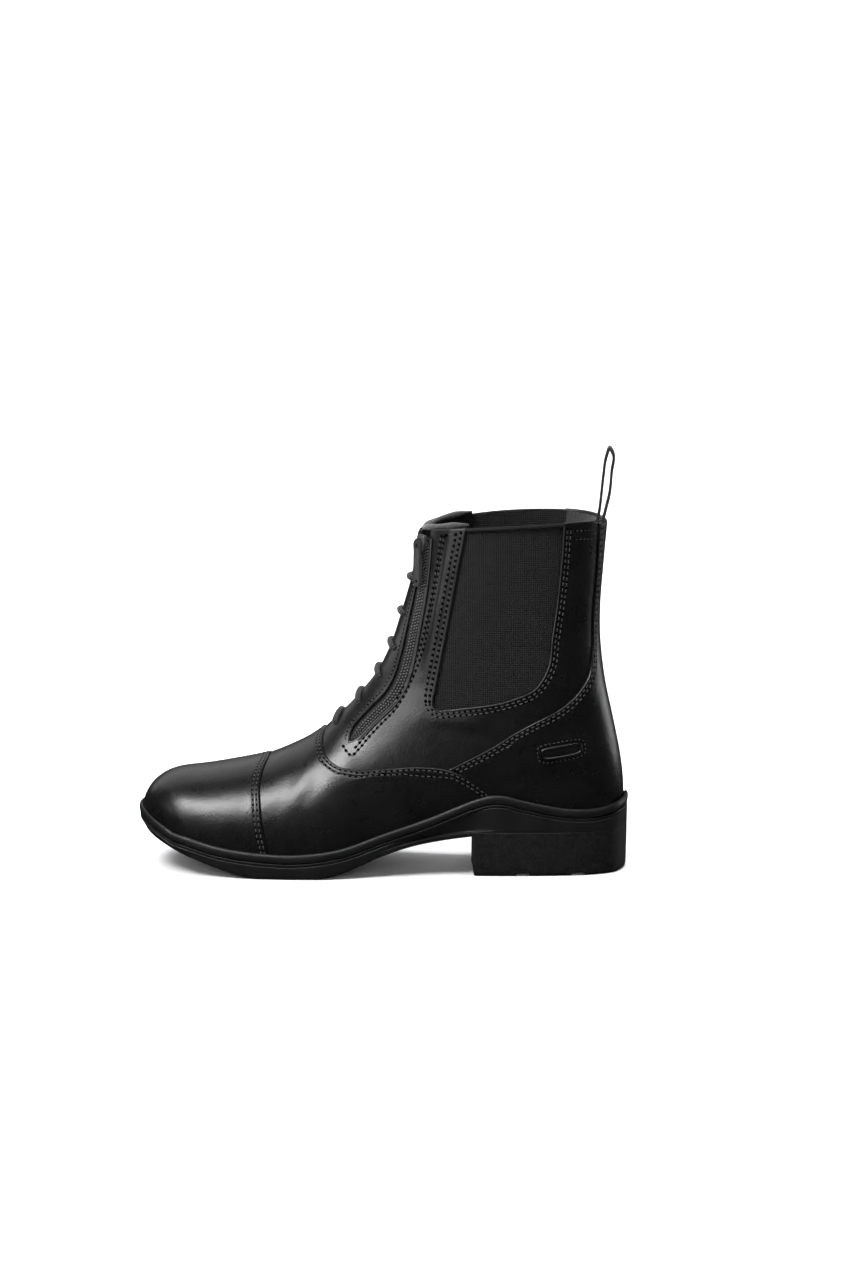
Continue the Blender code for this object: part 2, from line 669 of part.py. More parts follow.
tongue_sheet = bmesh.new()
wrapped_grid(tongue_sheet, len(tongue_places), 2 * TONGUE_COLUMNS, tongue_point)
tongue = add_object("tongue", tongue_sheet, leather)
thicken(tongue, -WALL - TONGUE_CLEAR, -TONGUE_THICK)

# Zip chain along the slot, proud of the leather by half a millimetre
CHAIN_PROUD = 0.5
CHAIN_THICK = 2.0
CHAIN_FOOT = (ZIP_PATH[0][0] + 0.4, ZIP_PATH[0][1] + 0.5)
chain_line = zip_spots((CHAIN_FOOT,) + ZIP_PATH[1:])
chain = add_object("zip_chain", strip_sheet(chain_line, ZIP_HALF_WIDTH - GAP), zip_coil)
thicken(chain, CHAIN_PROUD - CHAIN_THICK, CHAIN_THICK)

# Zip slider at the top of the chain: x across, y up the zip, z away from the leather
slider_centre, slider_across = zip_line[-1]
slider_up = (zip_line[-1][0] - zip_line[-2][0]).normalized()
slider_out = slider_up.cross(slider_across)
slider_base = slider_centre - slider_up * SLIDER_SIZE[1] / 2 + slider_out * (CHAIN_PROUD + GAP)
slider_frame = Matrix((-slider_across, slider_up, slider_out)).transposed().to_4x4()
slider_frame.translation = slider_base * MM

width, length, thick = SLIDER_SIZE
slider_outline = (
    (-0.30 * width, -length / 2), (0.30 * width, -length / 2), (width / 2, -0.05 * length),
    (width / 2, 0.36 * length), (0.36 * width, length / 2), (-0.36 * width, length / 2),
    (-width / 2, 0.36 * length), (-width / 2, -0.05 * length),
)
slider = add_object("zip_slider", extruded(slider_outline, 0.0, thick, "Z"), black_metal)
slider.matrix_local = slider_frame

# Bail on the slider, an arch whose inside holds the bar of the pull tab
BAIL_STEPS = 6
bail_height = thick + BAIL_RADII[0] + 0.1
arch = [math.pi * step / BAIL_STEPS for step in range(BAIL_STEPS + 1)]
bail_outline = [(-BAIL_RADII[1], thick - 0.6)]
bail_outline += [
    (-BAIL_RADII[1] * math.cos(a), bail_height + BAIL_RADII[1] * math.sin(a)) for a in arch]
bail_outline += [(BAIL_RADII[1], thick - 0.6), (BAIL_RADII[0], thick - 0.6)]
bail_outline += [
    (BAIL_RADII[0] * math.cos(a), bail_height + BAIL_RADII[0] * math.sin(a)) for a in arch]
bail_outline += [(-BAIL_RADII[0], thick - 0.6)]
bail = add_cutter("zip_bail", extruded(bail_outline, -BAIL_HALF_WIDTH, BAIL_HALF_WIDTH))
bail.matrix_local = slider_frame @ Matrix.Rotation(math.pi / 2, 4, "Z")
combine(slider, "UNION", bail)

# Pull tab hanging from the bail, its origin on the hinge
wide, long, flat = PULL_SIZE
BAR = 0.7
PULL_EYE_HALF_WIDTH = BAIL_HALF_WIDTH + 0.4
PULL_EYE_LENGTH = BAIL_RADII[1] + 0.6
pull_outline = (
    (-0.42 * wide, BAR), (0.42 * wide, BAR), (wide / 2, -6.0), (wide / 2, 3.0 - long),
    (0.3 * wide, 1.0 - long), (0.0, BAR - long), (-0.3 * wide, 1.0 - long), (-wide / 2, 3.0 - long),
    (-wide / 2, -6.0),
)
eye_outline = (
    (-PULL_EYE_HALF_WIDTH, -BAR), (PULL_EYE_HALF_WIDTH, -BAR),
    (PULL_EYE_HALF_WIDTH, -PULL_EYE_LENGTH), (-PULL_EYE_HALF_WIDTH, -PULL_EYE_LENGTH),
)
pull = add_object("zip_pull", extruded(pull_outline, -flat / 2, flat / 2, "Z"), black_metal)
pull_frame = slider_frame @ Matrix.Translation((0, 0, bail_height * MM))
pull_frame = pull_frame @ Matrix.Rotation(math.radians(PULL_TILT), 4, "X")
pull.matrix_local = pull_frame
eye = add_cutter("pull_eye", extruded(eye_outline, -2 * flat, 2 * flat, "Z"))
eye.matrix_local = pull_frame
combine(pull, "DIFFERENCE", eye)

# Bars of elastic lace slanting over the slit from one side of the front to the other
BAR_POINTS = 9


def lace_point(height, slant, widest, share):
    """Centre of a bar of lace at a share of its level reach from the ridge"""
    rise = slant * min(share, 0.0)
    reach = widest * share
    place = solve(lambda p: skin(p, 1, 0.0).z - height - rise, TONGUE_FOOT, COLLAR_ROW)
    side = -1 if reach < 0 else 1
    around = solve(lambda s: abs((skin(place, side, s) - skin(place, side, 0)).y) - abs(reach), 0, 0.3)
    point, normal = skin_frame(place, side, around)
    return point + normal * (LACE_RADIUS + GAP)


for number, (height, slant, widest) in enumerate(zip(LACE_HEIGHTS, LACE_SLANTS, LACE_REACHES), 1):
    curve = bpy.data.curves.new(f"lace_bar_{number}", "CURVE")
    curve.dimensions = "3D"
    curve.bevel_depth = LACE_RADIUS * MM
    curve.bevel_resolution = 1
    curve.use_fill_caps = True
    spline = curve.splines.new("POLY")
    spline.points.add(BAR_POINTS - 1)
    for step, point in enumerate(spline.points):
        share = 2 * step / (BAR_POINTS - 1) - 1
        point.co = (*(lace_point(height, slant, widest, share) * MM), 1.0)
    curve.materials.append(lace_cord)
    bar = bpy.data.objects.new(curve.name, curve)
    bpy.context.collection.objects.link(bar)
    bar.parent = boot

# Pull loop of tape, sewn in behind the collar and standing up in a narrow loop
def back_x(z):
    """Outer face of the back of the upper at a height"""
    place = solve(lambda p: skin(p, 1, 1.0).z - z, HEEL_ROW, COLLAR_ROW)
    return skin(place, 1, 1.0).x


hidden_leg = [(back_x(z) - WALL - LOOP_BEHIND, z) for z in LOOP_HIDDEN]
loop_spots = [(Vector((x, 0, z)), Vector((0, 1, 0))) for x, z in hidden_leg + list(LOOP_PATH)]
pull_loop = add_object("pull_loop", strip_sheet(loop_spots, LOOP_WIDTH / 2), elastic_web)
thicken(pull_loop, -LOOP_THICK / 2, LOOP_THICK)

# The boot stands with the middle of its plan on the origin
plan = np.array([point[:2] for ring in welt_rings for point in ring])
middle = (plan.min(axis=0) + plan.max(axis=0)) / 2
boot.location = (-middle[0] * MM, -middle[1] * MM, 0.0)
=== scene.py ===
import json
import math

import bmesh
import bpy
import numpy as np
from mathutils import Matrix, Vector
from mathutils.bvhtree import BVHTree


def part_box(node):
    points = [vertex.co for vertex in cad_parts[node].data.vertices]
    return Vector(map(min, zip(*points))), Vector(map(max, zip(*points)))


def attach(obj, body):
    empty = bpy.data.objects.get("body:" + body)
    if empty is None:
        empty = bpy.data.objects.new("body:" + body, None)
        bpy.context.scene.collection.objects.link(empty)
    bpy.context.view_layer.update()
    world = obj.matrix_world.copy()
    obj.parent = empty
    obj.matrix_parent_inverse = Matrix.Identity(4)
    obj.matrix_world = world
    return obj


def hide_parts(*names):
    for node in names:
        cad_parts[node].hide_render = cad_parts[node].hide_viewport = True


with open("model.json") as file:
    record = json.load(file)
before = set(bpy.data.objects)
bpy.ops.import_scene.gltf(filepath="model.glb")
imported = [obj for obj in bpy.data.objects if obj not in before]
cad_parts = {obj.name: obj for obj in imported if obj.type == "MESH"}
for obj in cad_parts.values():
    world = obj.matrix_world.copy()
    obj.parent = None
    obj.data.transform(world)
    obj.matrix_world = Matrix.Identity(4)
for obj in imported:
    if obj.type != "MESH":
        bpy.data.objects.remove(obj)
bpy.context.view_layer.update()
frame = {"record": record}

# Quarters and shaft: the main skin of the boot, from its lower edge to the collar. It is smooth black
# calf on a backing, 2.2 mm in all, pulled over the last and cut open for the laced slit, the zip and the
# elastic gussets. Girth sections, fanned out from toe to collar, give its shape.
MM = 0.001
MERGE = 0.00001
SHARP = 35
WALL = 2.2
FAN_COLUMNS = (
    "front_x", "front_z", "rear_x", "rear_z", "lateral", "medial",
    "sweep", "front_full", "rear_full", "swing", "crown",
)
FAN = np.array((
    (-135.0, 29.2, -113.0, 19.2, 31.0, 36.5, 70.0, 2.20, 2.2, 4.0, 0.0),
    (-134.0, 37.0, -110.0, 18.2, 34.2, 39.2, 78.0, 2.30, 2.3, 4.0, 0.0),
    (-128.6, 44.8, -105.0, 16.8, 37.3, 41.4, 86.0, 2.40, 2.4, 4.5, 0.0),
    (-117.6, 50.3, -98.0, 14.8, 39.5, 42.2, 93.0, 2.45, 2.4, 5.0, 0.0),
    (-96.0, 53.4, -86.0, 12.2, 42.3, 43.0, 98.0, 2.40, 2.4, 5.5, 0.0),
    (-65.6, 59.8, -67.0, 10.0, 44.8, 42.8, 101.0, 2.30, 2.3, 6.0, 0.0),
    (-47.6, 67.3, -46.0, 9.4, 45.8, 41.6, 102.0, 2.20, 2.2, 6.0, 0.0),
    (-35.5, 74.8, -22.0, 12.4, 44.4, 38.4, 106.0, 2.10, 2.1, 5.0, 0.0),
    (-28.0, 82.0, 2.0, 20.4, 40.2, 34.2, 110.0, 2.05, 2.0, 4.0, 0.0),
    (-20.6, 89.0, 28.0, 28.9, 35.6, 31.6, 113.0, 2.00, 2.0, 3.0, 0.0),
    (-14.0, 96.0, 54.0, 39.2, 33.2, 31.0, 115.0, 2.00, 2.0, 2.0, 0.0),
    (-9.5, 101.5, 67.5, 41.7, 32.6, 31.0, 116.5, 2.00, 2.0, 1.5, 0.0),
    (-5.5, 106.5, 82.0, 38.4, 32.2, 31.2, 119.5, 2.00, 2.0, 1.2, 0.0),
    (-2.5, 111.0, 104.0, 34.0, 31.8, 31.4, 124.5, 2.00, 2.05, 1.0, 0.0),
    (-0.3, 114.8, 120.5, 33.4, 31.6, 31.4, 134.0, 2.00, 2.15, 0.7, 0.0),
    (1.5, 118.4, 131.0, 35.6, 31.4, 31.4, 150.0, 1.95, 2.25, 0.4, 0.0),
    (3.3, 122.4, 135.2, 38.6, 31.4, 31.4, 180.0, 1.90, 2.3, 0.0, 0.0),
    (5.4, 127.5, 135.2, 52.0, 31.8, 31.8, 180.0, 1.88, 2.3, 0.0, 0.0),
    (7.5, 133.5, 133.0, 68.0, 32.2, 32.2, 180.0, 1.86, 2.25, 0.0, 0.0),
    (9.8, 141.0, 128.8, 88.0, 32.4, 32.4, 180.0, 1.85, 2.2, 0.0, 0.0),
    (12.2, 149.0, 124.6, 108.0, 32.6, 32.6, 180.0, 1.85, 2.2, 0.0, 0.2),
    (14.7, 157.5, 122.0, 130.0, 33.0, 33.0, 180.0, 1.85, 2.2, 0.0, 0.6),
    (17.0, 166.5, 121.8, 150.0, 33.4, 33.4, 180.0, 1.85, 2.2, 0.0, 1.4),
    (18.8, 178.0, 123.3, 172.0, 34.0, 34.0, 180.0, 1.85, 2.2, 0.0, 2.6),
    (20.5, 190.5, 125.4, 196.8, 34.6, 34.6, 180.0, 1.85, 2.2, 0.0, 4.2),
))
BALL_ROW = 6.0
COLLAR_ROW = len(FAN) - 1
loop_low, loop_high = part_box("pull_loop")
# The fan's x follows the front of the upper in the frame, and its y the middle of the pull loop
SHIFT = np.array((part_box("upper")[0].x - FAN[0][0] * MM, (loop_low.y + loop_high.y) / 2, 0.0))

# Soft creases: middle x and z seen from the side, slope in degrees, half length, half width and height
CREASES = (
    (-52.0, 48.0, 68.0, 15.0, 4.5, -0.30), (-43.0, 53.0, 62.0, 17.0, 4.0, 0.22),
    (-36.0, 50.0, 60.0, 15.0, 4.0, -0.26), (-12.0, 49.0, 20.0, 15.0, 4.5, -0.22),
    (13.0, 81.0, 51.0, 20.0, 9.0, 0.75), (22.0, 92.5, -36.0, 30.0, 8.0, 0.45),
    (40.0, 88.0, -6.0, 24.0, 4.0, 0.9), (66.0, 84.0, 18.0, 16.0, 3.5, -0.22),
    (33.2, 156.0, 80.4, 36.0, 2.6, 0.85), (28.6, 153.0, 80.4, 38.0, 2.0, -0.5),
    (38.6, 154.5, 80.4, 36.0, 2.0, -0.45), (104.0, 108.0, 55.0, 10.0, 4.0, -0.25),
    (-75.0, 44.0, 78.0, 12.0, 4.0, -0.12),
)
BRIDGE_ROWS = (8.5, 11.0, 17.0, 20.0)
BRIDGE_ROUNDS = 150


def fan_values(place):
    """Values of the girth section at places along the fan, blended smoothly between rows"""
    place = np.asarray(place, float)
    index = np.clip(place.astype(int), 0, COLLAR_ROW - 1)
    t = (place - index)[..., None]
    before, here, there, after = (FAN[np.clip(index + step, 0, COLLAR_ROW)] for step in (-1, 0, 1, 2))
    values = (
        (2 * t**3 - 3 * t**2 + 1) * here + (t**3 - 2 * t**2 + t) * (there - before) / 2
        + (3 * t**2 - 2 * t**3) * there + (t**3 - t**2) * (after - here) / 2
    )
    return dict(zip(FAN_COLUMNS, np.moveaxis(values, -1, 0)))


def bent(value, full):
    """Sine or cosine of a turn, bent towards a square by its fullness"""
    return np.sign(value) * np.abs(value) ** (2 / full)


def along_section(row, turn):
    """Share of the way from the ridge to the rear point after turns in radians"""
    sweep = np.radians(np.minimum(row["sweep"], 180.0))
    end_full = np.where(sweep > np.pi / 2, row["rear_full"], row["front_full"])
    full = np.where(turn < np.pi / 2, row["front_full"], row["rear_full"])
    return (1 - bent(np.cos(turn), full)) / (1 - bent(np.cos(sweep), end_full))


def skin(place, around):
    """Points of the upper's outer face; around runs from -1 on the lateral side over the ridge to 1"""
    row = fan_values(place)
    turn = np.abs(around) * np.radians(np.minimum(row["sweep"], 180.0))
    full = np.where(turn < np.pi / 2, row["front_full"], row["rear_full"])
    along = along_section(row, turn)
    rise = np.maximum(np.sin(turn), 0.0)
    half = np.where(np.asarray(around) < 0, row["lateral"], row["medial"])
    x = row["front_x"] + (row["rear_x"] - row["front_x"]) * along
    y = row["swing"] * (1 - along) + np.sign(around) * half * bent(rise, full)
    z = row["front_z"] + (row["rear_z"] - row["front_z"]) * along + row["crown"] * rise
    return np.stack((x, y, z), axis=-1) * MM + SHIFT


def unit(vectors):
    """Vectors of length one"""
    return vectors / np.maximum(np.linalg.norm(vectors, axis=-1, keepdims=True), 1e-12)


def skin_normal(place, around, step=0.02):
    """Outward directions of the skin, from short steps along it and around it"""
    up = skin(np.minimum(place + step, COLLAR_ROW), around) - skin(np.maximum(place - step, 0.0), around)
    across = skin(place, np.minimum(around + step, 1.0)) - skin(place, np.maximum(around - step, -1.0))
    return unit(np.cross(up, across))


def creased(points):
    """Lift of the soft creases at points of the skin, in millimetres"""
    x = (points[..., 0] - SHIFT[0]) / MM
    z = points[..., 2] / MM
    lift = np.zeros_like(x)
    for middle_x, middle_z, slope, half_length, half_width, height in CREASES:
        c, s = math.cos(math.radians(slope)), math.sin(math.radians(slope))
        along = (x - middle_x) * c + (z - middle_z) * s
        across = (z - middle_z) * c - (x - middle_x) * s
        lift += height * np.exp(-(along / half_length) ** 2 - (across / half_width) ** 2)
    return lift


def on_leather(place, around, lift=0.0):
    """Points at a height in millimetres above the creased skin"""
    points = skin(place, around)
    height = (np.asarray(lift) + creased(points)) * MM
    return points + skin_normal(place, around) * height[..., None]


def bridged(points, place, hold):
    """A table of points along the fan, eased over its quick turns at the ankle as stiff leather does"""
    share = 0.5 * (np.interp(place, BRIDGE_ROWS, (0.0, 1.0, 1.0, 0.0)) * hold)[:, 1:-1, None]
    for _ in range(BRIDGE_ROUNDS):
        points[:, 1:-1] += share * ((points[:, :-2] + points[:, 2:]) / 2 - points[:, 1:-1])
    return points


def wrapped(bm, points, uv=None):
    """Add a sheet of quads through a table of points; it faces columns cross rows"""
    rows, columns = points.shape[:2]
    made = bmesh.ops.create_grid(bm, x_segments=columns - 1, y_segments=rows - 1, size=0.5)["verts"]
    layer = bm.loops.layers.uv.verify() if uv is not None else None
    for vert in made:
        column = round((vert.co.x + 0.5) * (columns - 1))
        row = round((vert.co.y + 0.5) * (rows - 1))
        vert.co = points[row, column]
        if uv is not None:
            for loop in vert.link_loops:
                loop[layer].uv = uv[row, column]


def closed(bm):
    """Merge the edges where a sheet meets itself"""
    bmesh.ops.remove_doubles(bm, verts=bm.verts, dist=MERGE)
    bmesh.ops.dissolve_degenerate(bm, dist=MERGE, edges=bm.edges)


def add_mesh(name, bm, material=None, sharp=SHARP):
    """Object of a finished mesh, shaded smooth up to an angle in degrees"""
    mesh = bpy.data.meshes.new(name)
    bm.to_mesh(mesh)
    bm.free()
    mesh.shade_smooth()
    mesh.set_sharp_from_angle(angle=math.radians(sharp))
    piece = bpy.data.objects.new(name, mesh)
    bpy.context.collection.objects.link(piece)
    if material:
        mesh.materials.append(material)
    return piece


def add_piece(name, bm, material, sharp=SHARP, body="boot"):
    """Piece that moves with the boot, or with another body"""
    piece = add_mesh(name, bm, material, sharp)
    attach(piece, body)
    return piece


def give_wall(piece, thick, offset=-1.0):
    """Thickness of a sheet in millimetres, inwards unless the offset says otherwise"""
    wall = piece.modifiers.new("wall", "SOLIDIFY")
    wall.thickness = thick * MM
    wall.offset = offset


def tone(pair):
    """Colour of a grey and its blue"""
    return (pair[0], pair[0], pair[1], 1.0)


def new_finish(name, roughness, sockets=None):
    """Principled material of one finish, with any further sockets by name"""
    material = bpy.data.materials.new(name)
    material.use_nodes = True
    shader = material.node_tree.nodes["Principled BSDF"]
    shader.inputs["Roughness"].default_value = roughness
    for socket, value in (sockets or {}).items():
        shader.inputs[socket].default_value = value
    return material


def wire(material, kind, inputs=None, **settings):
    """Add a node whose inputs are numbers, colours or the outputs of other nodes"""
    node = material.node_tree.nodes.new(kind)
    for setting, value in settings.items():
        setattr(node, setting, value)
    for socket, value in (inputs or {}).items():
        if isinstance(value, bpy.types.NodeSocket):
            material.node_tree.links.new(value, node.inputs[socket])
        else:
            node.inputs[socket].default_value = value
    return node


def own_place(material):
    """The piece's own coordinates, in metres"""
    return wire(material, "ShaderNodeTexCoord").outputs["Object"]


def cells(material, scale):
    """Pattern of small round cells, with a number of them to the metre"""
    inputs = {"Vector": own_place(material), "Scale": scale}
    return wire(material, "ShaderNodeTexVoronoi", inputs).outputs["Distance"]


def noise(material, scale, detail=3.0, roughness=0.5):
    """Cloudy pattern with a number of waves to the metre"""
    inputs = {"Vector": own_place(material), "Scale": scale, "Detail": detail, "Roughness": roughness}
    return wire(material, "ShaderNodeTexNoise", inputs).outputs["Fac"]


def mapped(material, value, low, high, from_low=0.3, from_high=0.7):
    """A pattern's value stretched to run between two numbers"""
    inputs = {"Value": value, "From Min": from_low, "From Max": from_high, "To Min": low, "To Max": high}
    return wire(material, "ShaderNodeMapRange", inputs).outputs["Result"]


def combined(material, operation, first, second):
    """Sum, product or other arithmetic of two patterns"""
    return wire(material, "ShaderNodeMath", {0: first, 1: second}, operation=operation).outputs[0]


def set_relief(material, height, strength, depth):
    """Fine relief from a pattern, with its depth in metres"""
    bump = wire(material, "ShaderNodeBump", {"Height": height, "Strength": strength, "Distance": depth})
    shader = material.node_tree.nodes["Principled BSDF"]
    material.node_tree.links.new(bump.outputs["Normal"], shader.inputs["Normal"])


def drive(material, socket, value):
    """Let a pattern set one of the shader's sockets"""
    shader = material.node_tree.nodes["Principled BSDF"]
    material.node_tree.links.new(value, shader.inputs[socket])


def two_tone(material, pattern, dark, light):
    """Base colour that wanders between two tones"""
    mix = wire(material, "ShaderNodeMix", {0: pattern, 6: tone(dark), 7: tone(light)}, data_type="RGBA")
    drive(material, "Base Color", mix.outputs[2])


# Smooth calf: fine pores and grain, cloudy gloss and a thin polish
leather = new_finish("calf_leather", 0.3, {"Coat Weight": 0.22, "Coat Roughness": 0.3})
leather_pores = combined(leather, "MULTIPLY", cells(leather, 1500.0), 0.25)
leather_grain = combined(leather, "ADD", leather_pores, noise(leather, 900.0, 3.0, 0.6))
leather_rolls = combined(leather, "MULTIPLY", noise(leather, 70.0, 2.0), 3.0)
set_relief(leather, combined(leather, "ADD", leather_grain, leather_rolls), 0.6, 0.0002)
leather_cloud = mapped(leather, noise(leather, 45.0, 4.0, 0.6), 0.0, 1.0)
two_tone(leather, leather_cloud, (0.0026, 0.0028), (0.0048, 0.0051))
drive(leather, "Roughness", mapped(leather, noise(leather, 130.0, 4.0, 0.6), 0.26, 0.33))

foot_places = np.linspace(0.0, BALL_ROW, 18, endpoint=False)
shaft_places = np.linspace(BALL_ROW, COLLAR_ROW, 170)
quarter_turns = np.concatenate((np.linspace(-1.0, 0.0, 130, endpoint=False), np.linspace(0.0, 1.0, 86)))
place, around = np.meshgrid(np.concatenate((foot_places, shaft_places)), quarter_turns)
quarters_mesh = bmesh.new()
wrapped(quarters_mesh, bridged(on_leather(place, around), place, 1 - np.abs(around) ** 16))
closed(quarters_mesh)
quarters_tree = BVHTree.FromBMesh(quarters_mesh)
quarters = add_piece("quarters", quarters_mesh, leather)
give_wall(quarters, WALL)
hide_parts("upper")

# Openings of the upper: the laced slit over the ridge, the zip's slot on the lateral side, the two gusset
# windows and the punched lace holes. They are cut through leather and lining with a knife and a punch,
# so each is a cutting tool here, used on both layers.
GUSSET = (
    (48.6, 207.0), (48.0, 196.0), (44.4, 176.5), (39.3, 149.0), (34.6, 123.5), (31.2, 105.2),
    (29.9, 98.4), (30.3, 95.0), (32.9, 92.9), (38.0, 93.2), (47.0, 94.6), (56.7, 96.1), (65.2, 97.6),
    (79.2, 102.0), (86.5, 105.4), (91.2, 111.0), (94.4, 117.2), (97.0, 135.0), (99.4, 152.3),
    (101.6, 174.0), (103.1, 196.1), (103.9, 207.0),
)
ZIP_PATH = (
    (-16.8, 74.4), (-10.7, 82.3), (-2.3, 91.2), (5.9, 99.7), (10.8, 108.7), (14.0, 119.2),
    (17.6, 136.2), (22.4, 161.7), (24.3, 178.0), (25.2, 189.0),
)
ZIP_HALF_WIDTH = 4.5
SLIT_FOOT = 7.85
SLIT_HALF_WIDTHS = (2.2, 2.8)
LACE_HEIGHTS = (86.6, 98.8, 113.0, 128.4, 146.0, 165.0)
LACE_REACHES = (10.0, 9.2, 8.4, 7.8, 7.0, 6.8)
LACE_SLANTS = (3.5, 3.5, 3.0, 2.0, 0.6, 0.3)
PAST_COLLAR = 14.0
SLIT_CUT = (-9.0, 5.0)
ZIP_CUT = (-8.0, 5.0)
WINDOW_REACH = (4.0, 80.0)
HOLE_RADIUS = 1.5
PUNCH_DEPTH = 9.0
ZIP_TAPER = 9.0
ZIP_BLUNT = 0.6
SIDES = (("lateral", -1), ("medial", 1))


def run_along(points):
    """Lengths along a line of points, from its start"""
    return np.concatenate(([0.0], np.cumsum(np.linalg.norm(np.diff(points, axis=0), axis=1))))


def smooth_line(points, spacing):
    """Points spaced evenly along a smooth curve through a short table of points"""
    points = np.array(points, float)
    knots = run_along(points)
    slopes = np.gradient(points, knots, axis=0)
    at = np.linspace(0.0, knots[-1], max(2, round(knots[-1] / spacing) + 1))
    index = np.clip(np.searchsorted(knots, at) - 1, 0, len(knots) - 2)
    width = (knots[index + 1] - knots[index])[:, None]
    t = (at - knots[index])[:, None] / width
    return (
        (2 * t**3 - 3 * t**2 + 1) * points[index] + (t**3 - 2 * t**2 + t) * slopes[index] * width
        + (3 * t**2 - 2 * t**3) * points[index + 1] + (t**3 - t**2) * slopes[index + 1] * width
    )


def halved(test, low, high):
    """Where rising tests cross zero, all at once"""
    for _ in range(40):
        middle = (low + high) / 2
        below = test(middle) < 0
        low, high = np.where(below, middle, low), np.where(below, high, middle)
    return (low + high) / 2


def side_place(x, z):
    """Places along the fan and shares around it of points seen from the side, in millimetres"""
    crown = np.zeros_like(x)
    for _ in range(3):
        def below(place):
            row = fan_values(place)
            run, drop = row["rear_x"] - row["front_x"], row["rear_z"] - row["front_z"]
            return drop * (x - row["front_x"]) - run * (z - crown - row["front_z"])
        place = halved(below, np.zeros_like(x), np.full_like(x, COLLAR_ROW))
        row = fan_values(place)
        run, drop = row["rear_x"] - row["front_x"], row["rear_z"] - row["front_z"]
        along = ((x - row["front_x"]) * run + (z - crown - row["front_z"]) * drop) / (run**2 + drop**2)
        sweep = np.radians(np.minimum(row["sweep"], 180.0))
        share = halved(lambda s: along_section(row, s * sweep) - along, np.zeros_like(x), np.ones_like(x))
        crown = row["crown"] * np.sin(share * sweep)
    return place, share


def seen_from_side(table, spacing, side=-1):
    """Line on the skin, as places and turns around it, through a table of x and z"""
    line = smooth_line(table, spacing)
    place, share = side_place(line[:, 0], line[:, 1])
    return place, side * share


def spaced(place, around, spacing):
    """The same line with its points evenly spaced, in millimetres"""
    length = run_along(skin(place, around)) / MM
    at = np.linspace(0.0, length[-1], max(2, round(length[-1] / spacing) + 1))
    return np.interp(at, length, place), np.interp(at, length, around)


def add_closed(bm, table, uv=None):
    """Add a closed body whose side runs through a table of points"""
    grown = bmesh.new()
    wrapped(grown, table, uv)
    closed(grown)
    bmesh.ops.holes_fill(grown, edges=grown.edges)
    bmesh.ops.recalc_face_normals(grown, faces=grown.faces)
    spare = bpy.data.meshes.new("spare")
    grown.to_mesh(spare)
    grown.free()
    bm.from_mesh(spare)
    bpy.data.meshes.remove(spare)


def add_bar(bm, centres, across, out, half_width, low, high):
    """Closed bar of four faces along a line, from low to high along its outward directions"""
    half_width = np.broadcast_to(half_width, len(centres))[:, None]
    add_closed(bm, np.array([
        centres + across * half_width * side * MM + out * height * MM
        for side, height in ((-1, low), (-1, high), (1, high), (1, low), (-1, low))
    ]))


def add_extruded(bm, outline, step):
    """Add a prism: a face through an outline's points, grown by a step"""
    corners = [bm.verts.new(point) for point in outline]
    grown = bmesh.ops.extrude_face_region(bm, geom=[bm.faces.new(corners)])["geom"]
    moved = [item for item in grown if isinstance(item, bmesh.types.BMVert)]
    bmesh.ops.translate(bm, verts=moved, vec=step)
    bmesh.ops.recalc_face_normals(bm, faces=list({f for v in corners + moved for f in v.link_faces}))


def past_end(points, distance):
    """A line carried straight on past its last point"""
    return np.vstack((points, points[-1] + unit(points[-1] - points[-2]) * distance * MM))


def ridge_place(height):
    """Place along the fan where the ridge has a height in millimetres"""
    places = np.linspace(BALL_ROW, COLLAR_ROW, 400)
    return np.interp(height, skin(places, np.zeros_like(places))[:, 2] / MM, places)


def lace_spot(number, share):
    """Place and turn of a spot on a bar of lace, by its share of the bar's level reach from the ridge"""
    reach = LACE_REACHES[number] * share
    place = ridge_place(LACE_HEIGHTS[number] + LACE_SLANTS[number] * min(share, 0.0))
    shares = np.linspace(0.0, 0.4, 200) * (1 if reach > 0 else -1)
    away = np.abs(skin(np.full(200, place), shares)[:, 1] - skin(np.array([place]), np.zeros(1))[0, 1]) / MM
    return place, float(np.interp(abs(reach), away, shares))


def window_outline(grown=0.0):
    """Outline of a gusset window, or one larger by millimetres"""
    line = smooth_line(GUSSET, 1.5)
    along = np.gradient(line, axis=0)
    left = unit(np.stack((-along[:, 1], along[:, 0]), axis=-1))
    return line - left * np.asarray(grown)[..., None]


def add_window(bm, side, grown=0.0):
    """Prism through the gusset window of one side"""
    low, high = sorted(side * reach for reach in WINDOW_REACH)
    outline = [(x * MM + SHIFT[0], low * MM, z * MM) for x, z in window_outline(grown)]
    add_extruded(bm, outline, (0, (high - low) * MM, 0))


def cut(piece, cutter, operation="DIFFERENCE"):
    """Cut a piece with another object, and apply all its modifiers to its mesh"""
    modifier = piece.modifiers.new("cut", "BOOLEAN")
    modifier.operation = operation
    modifier.object = cutter
    shown = piece.evaluated_get(bpy.context.evaluated_depsgraph_get())
    mesh = bpy.data.meshes.new_from_object(shown)
    piece.modifiers.clear()
    piece.data = mesh
    mesh.shade_smooth()
    mesh.set_sharp_from_angle(angle=math.radians(SHARP))


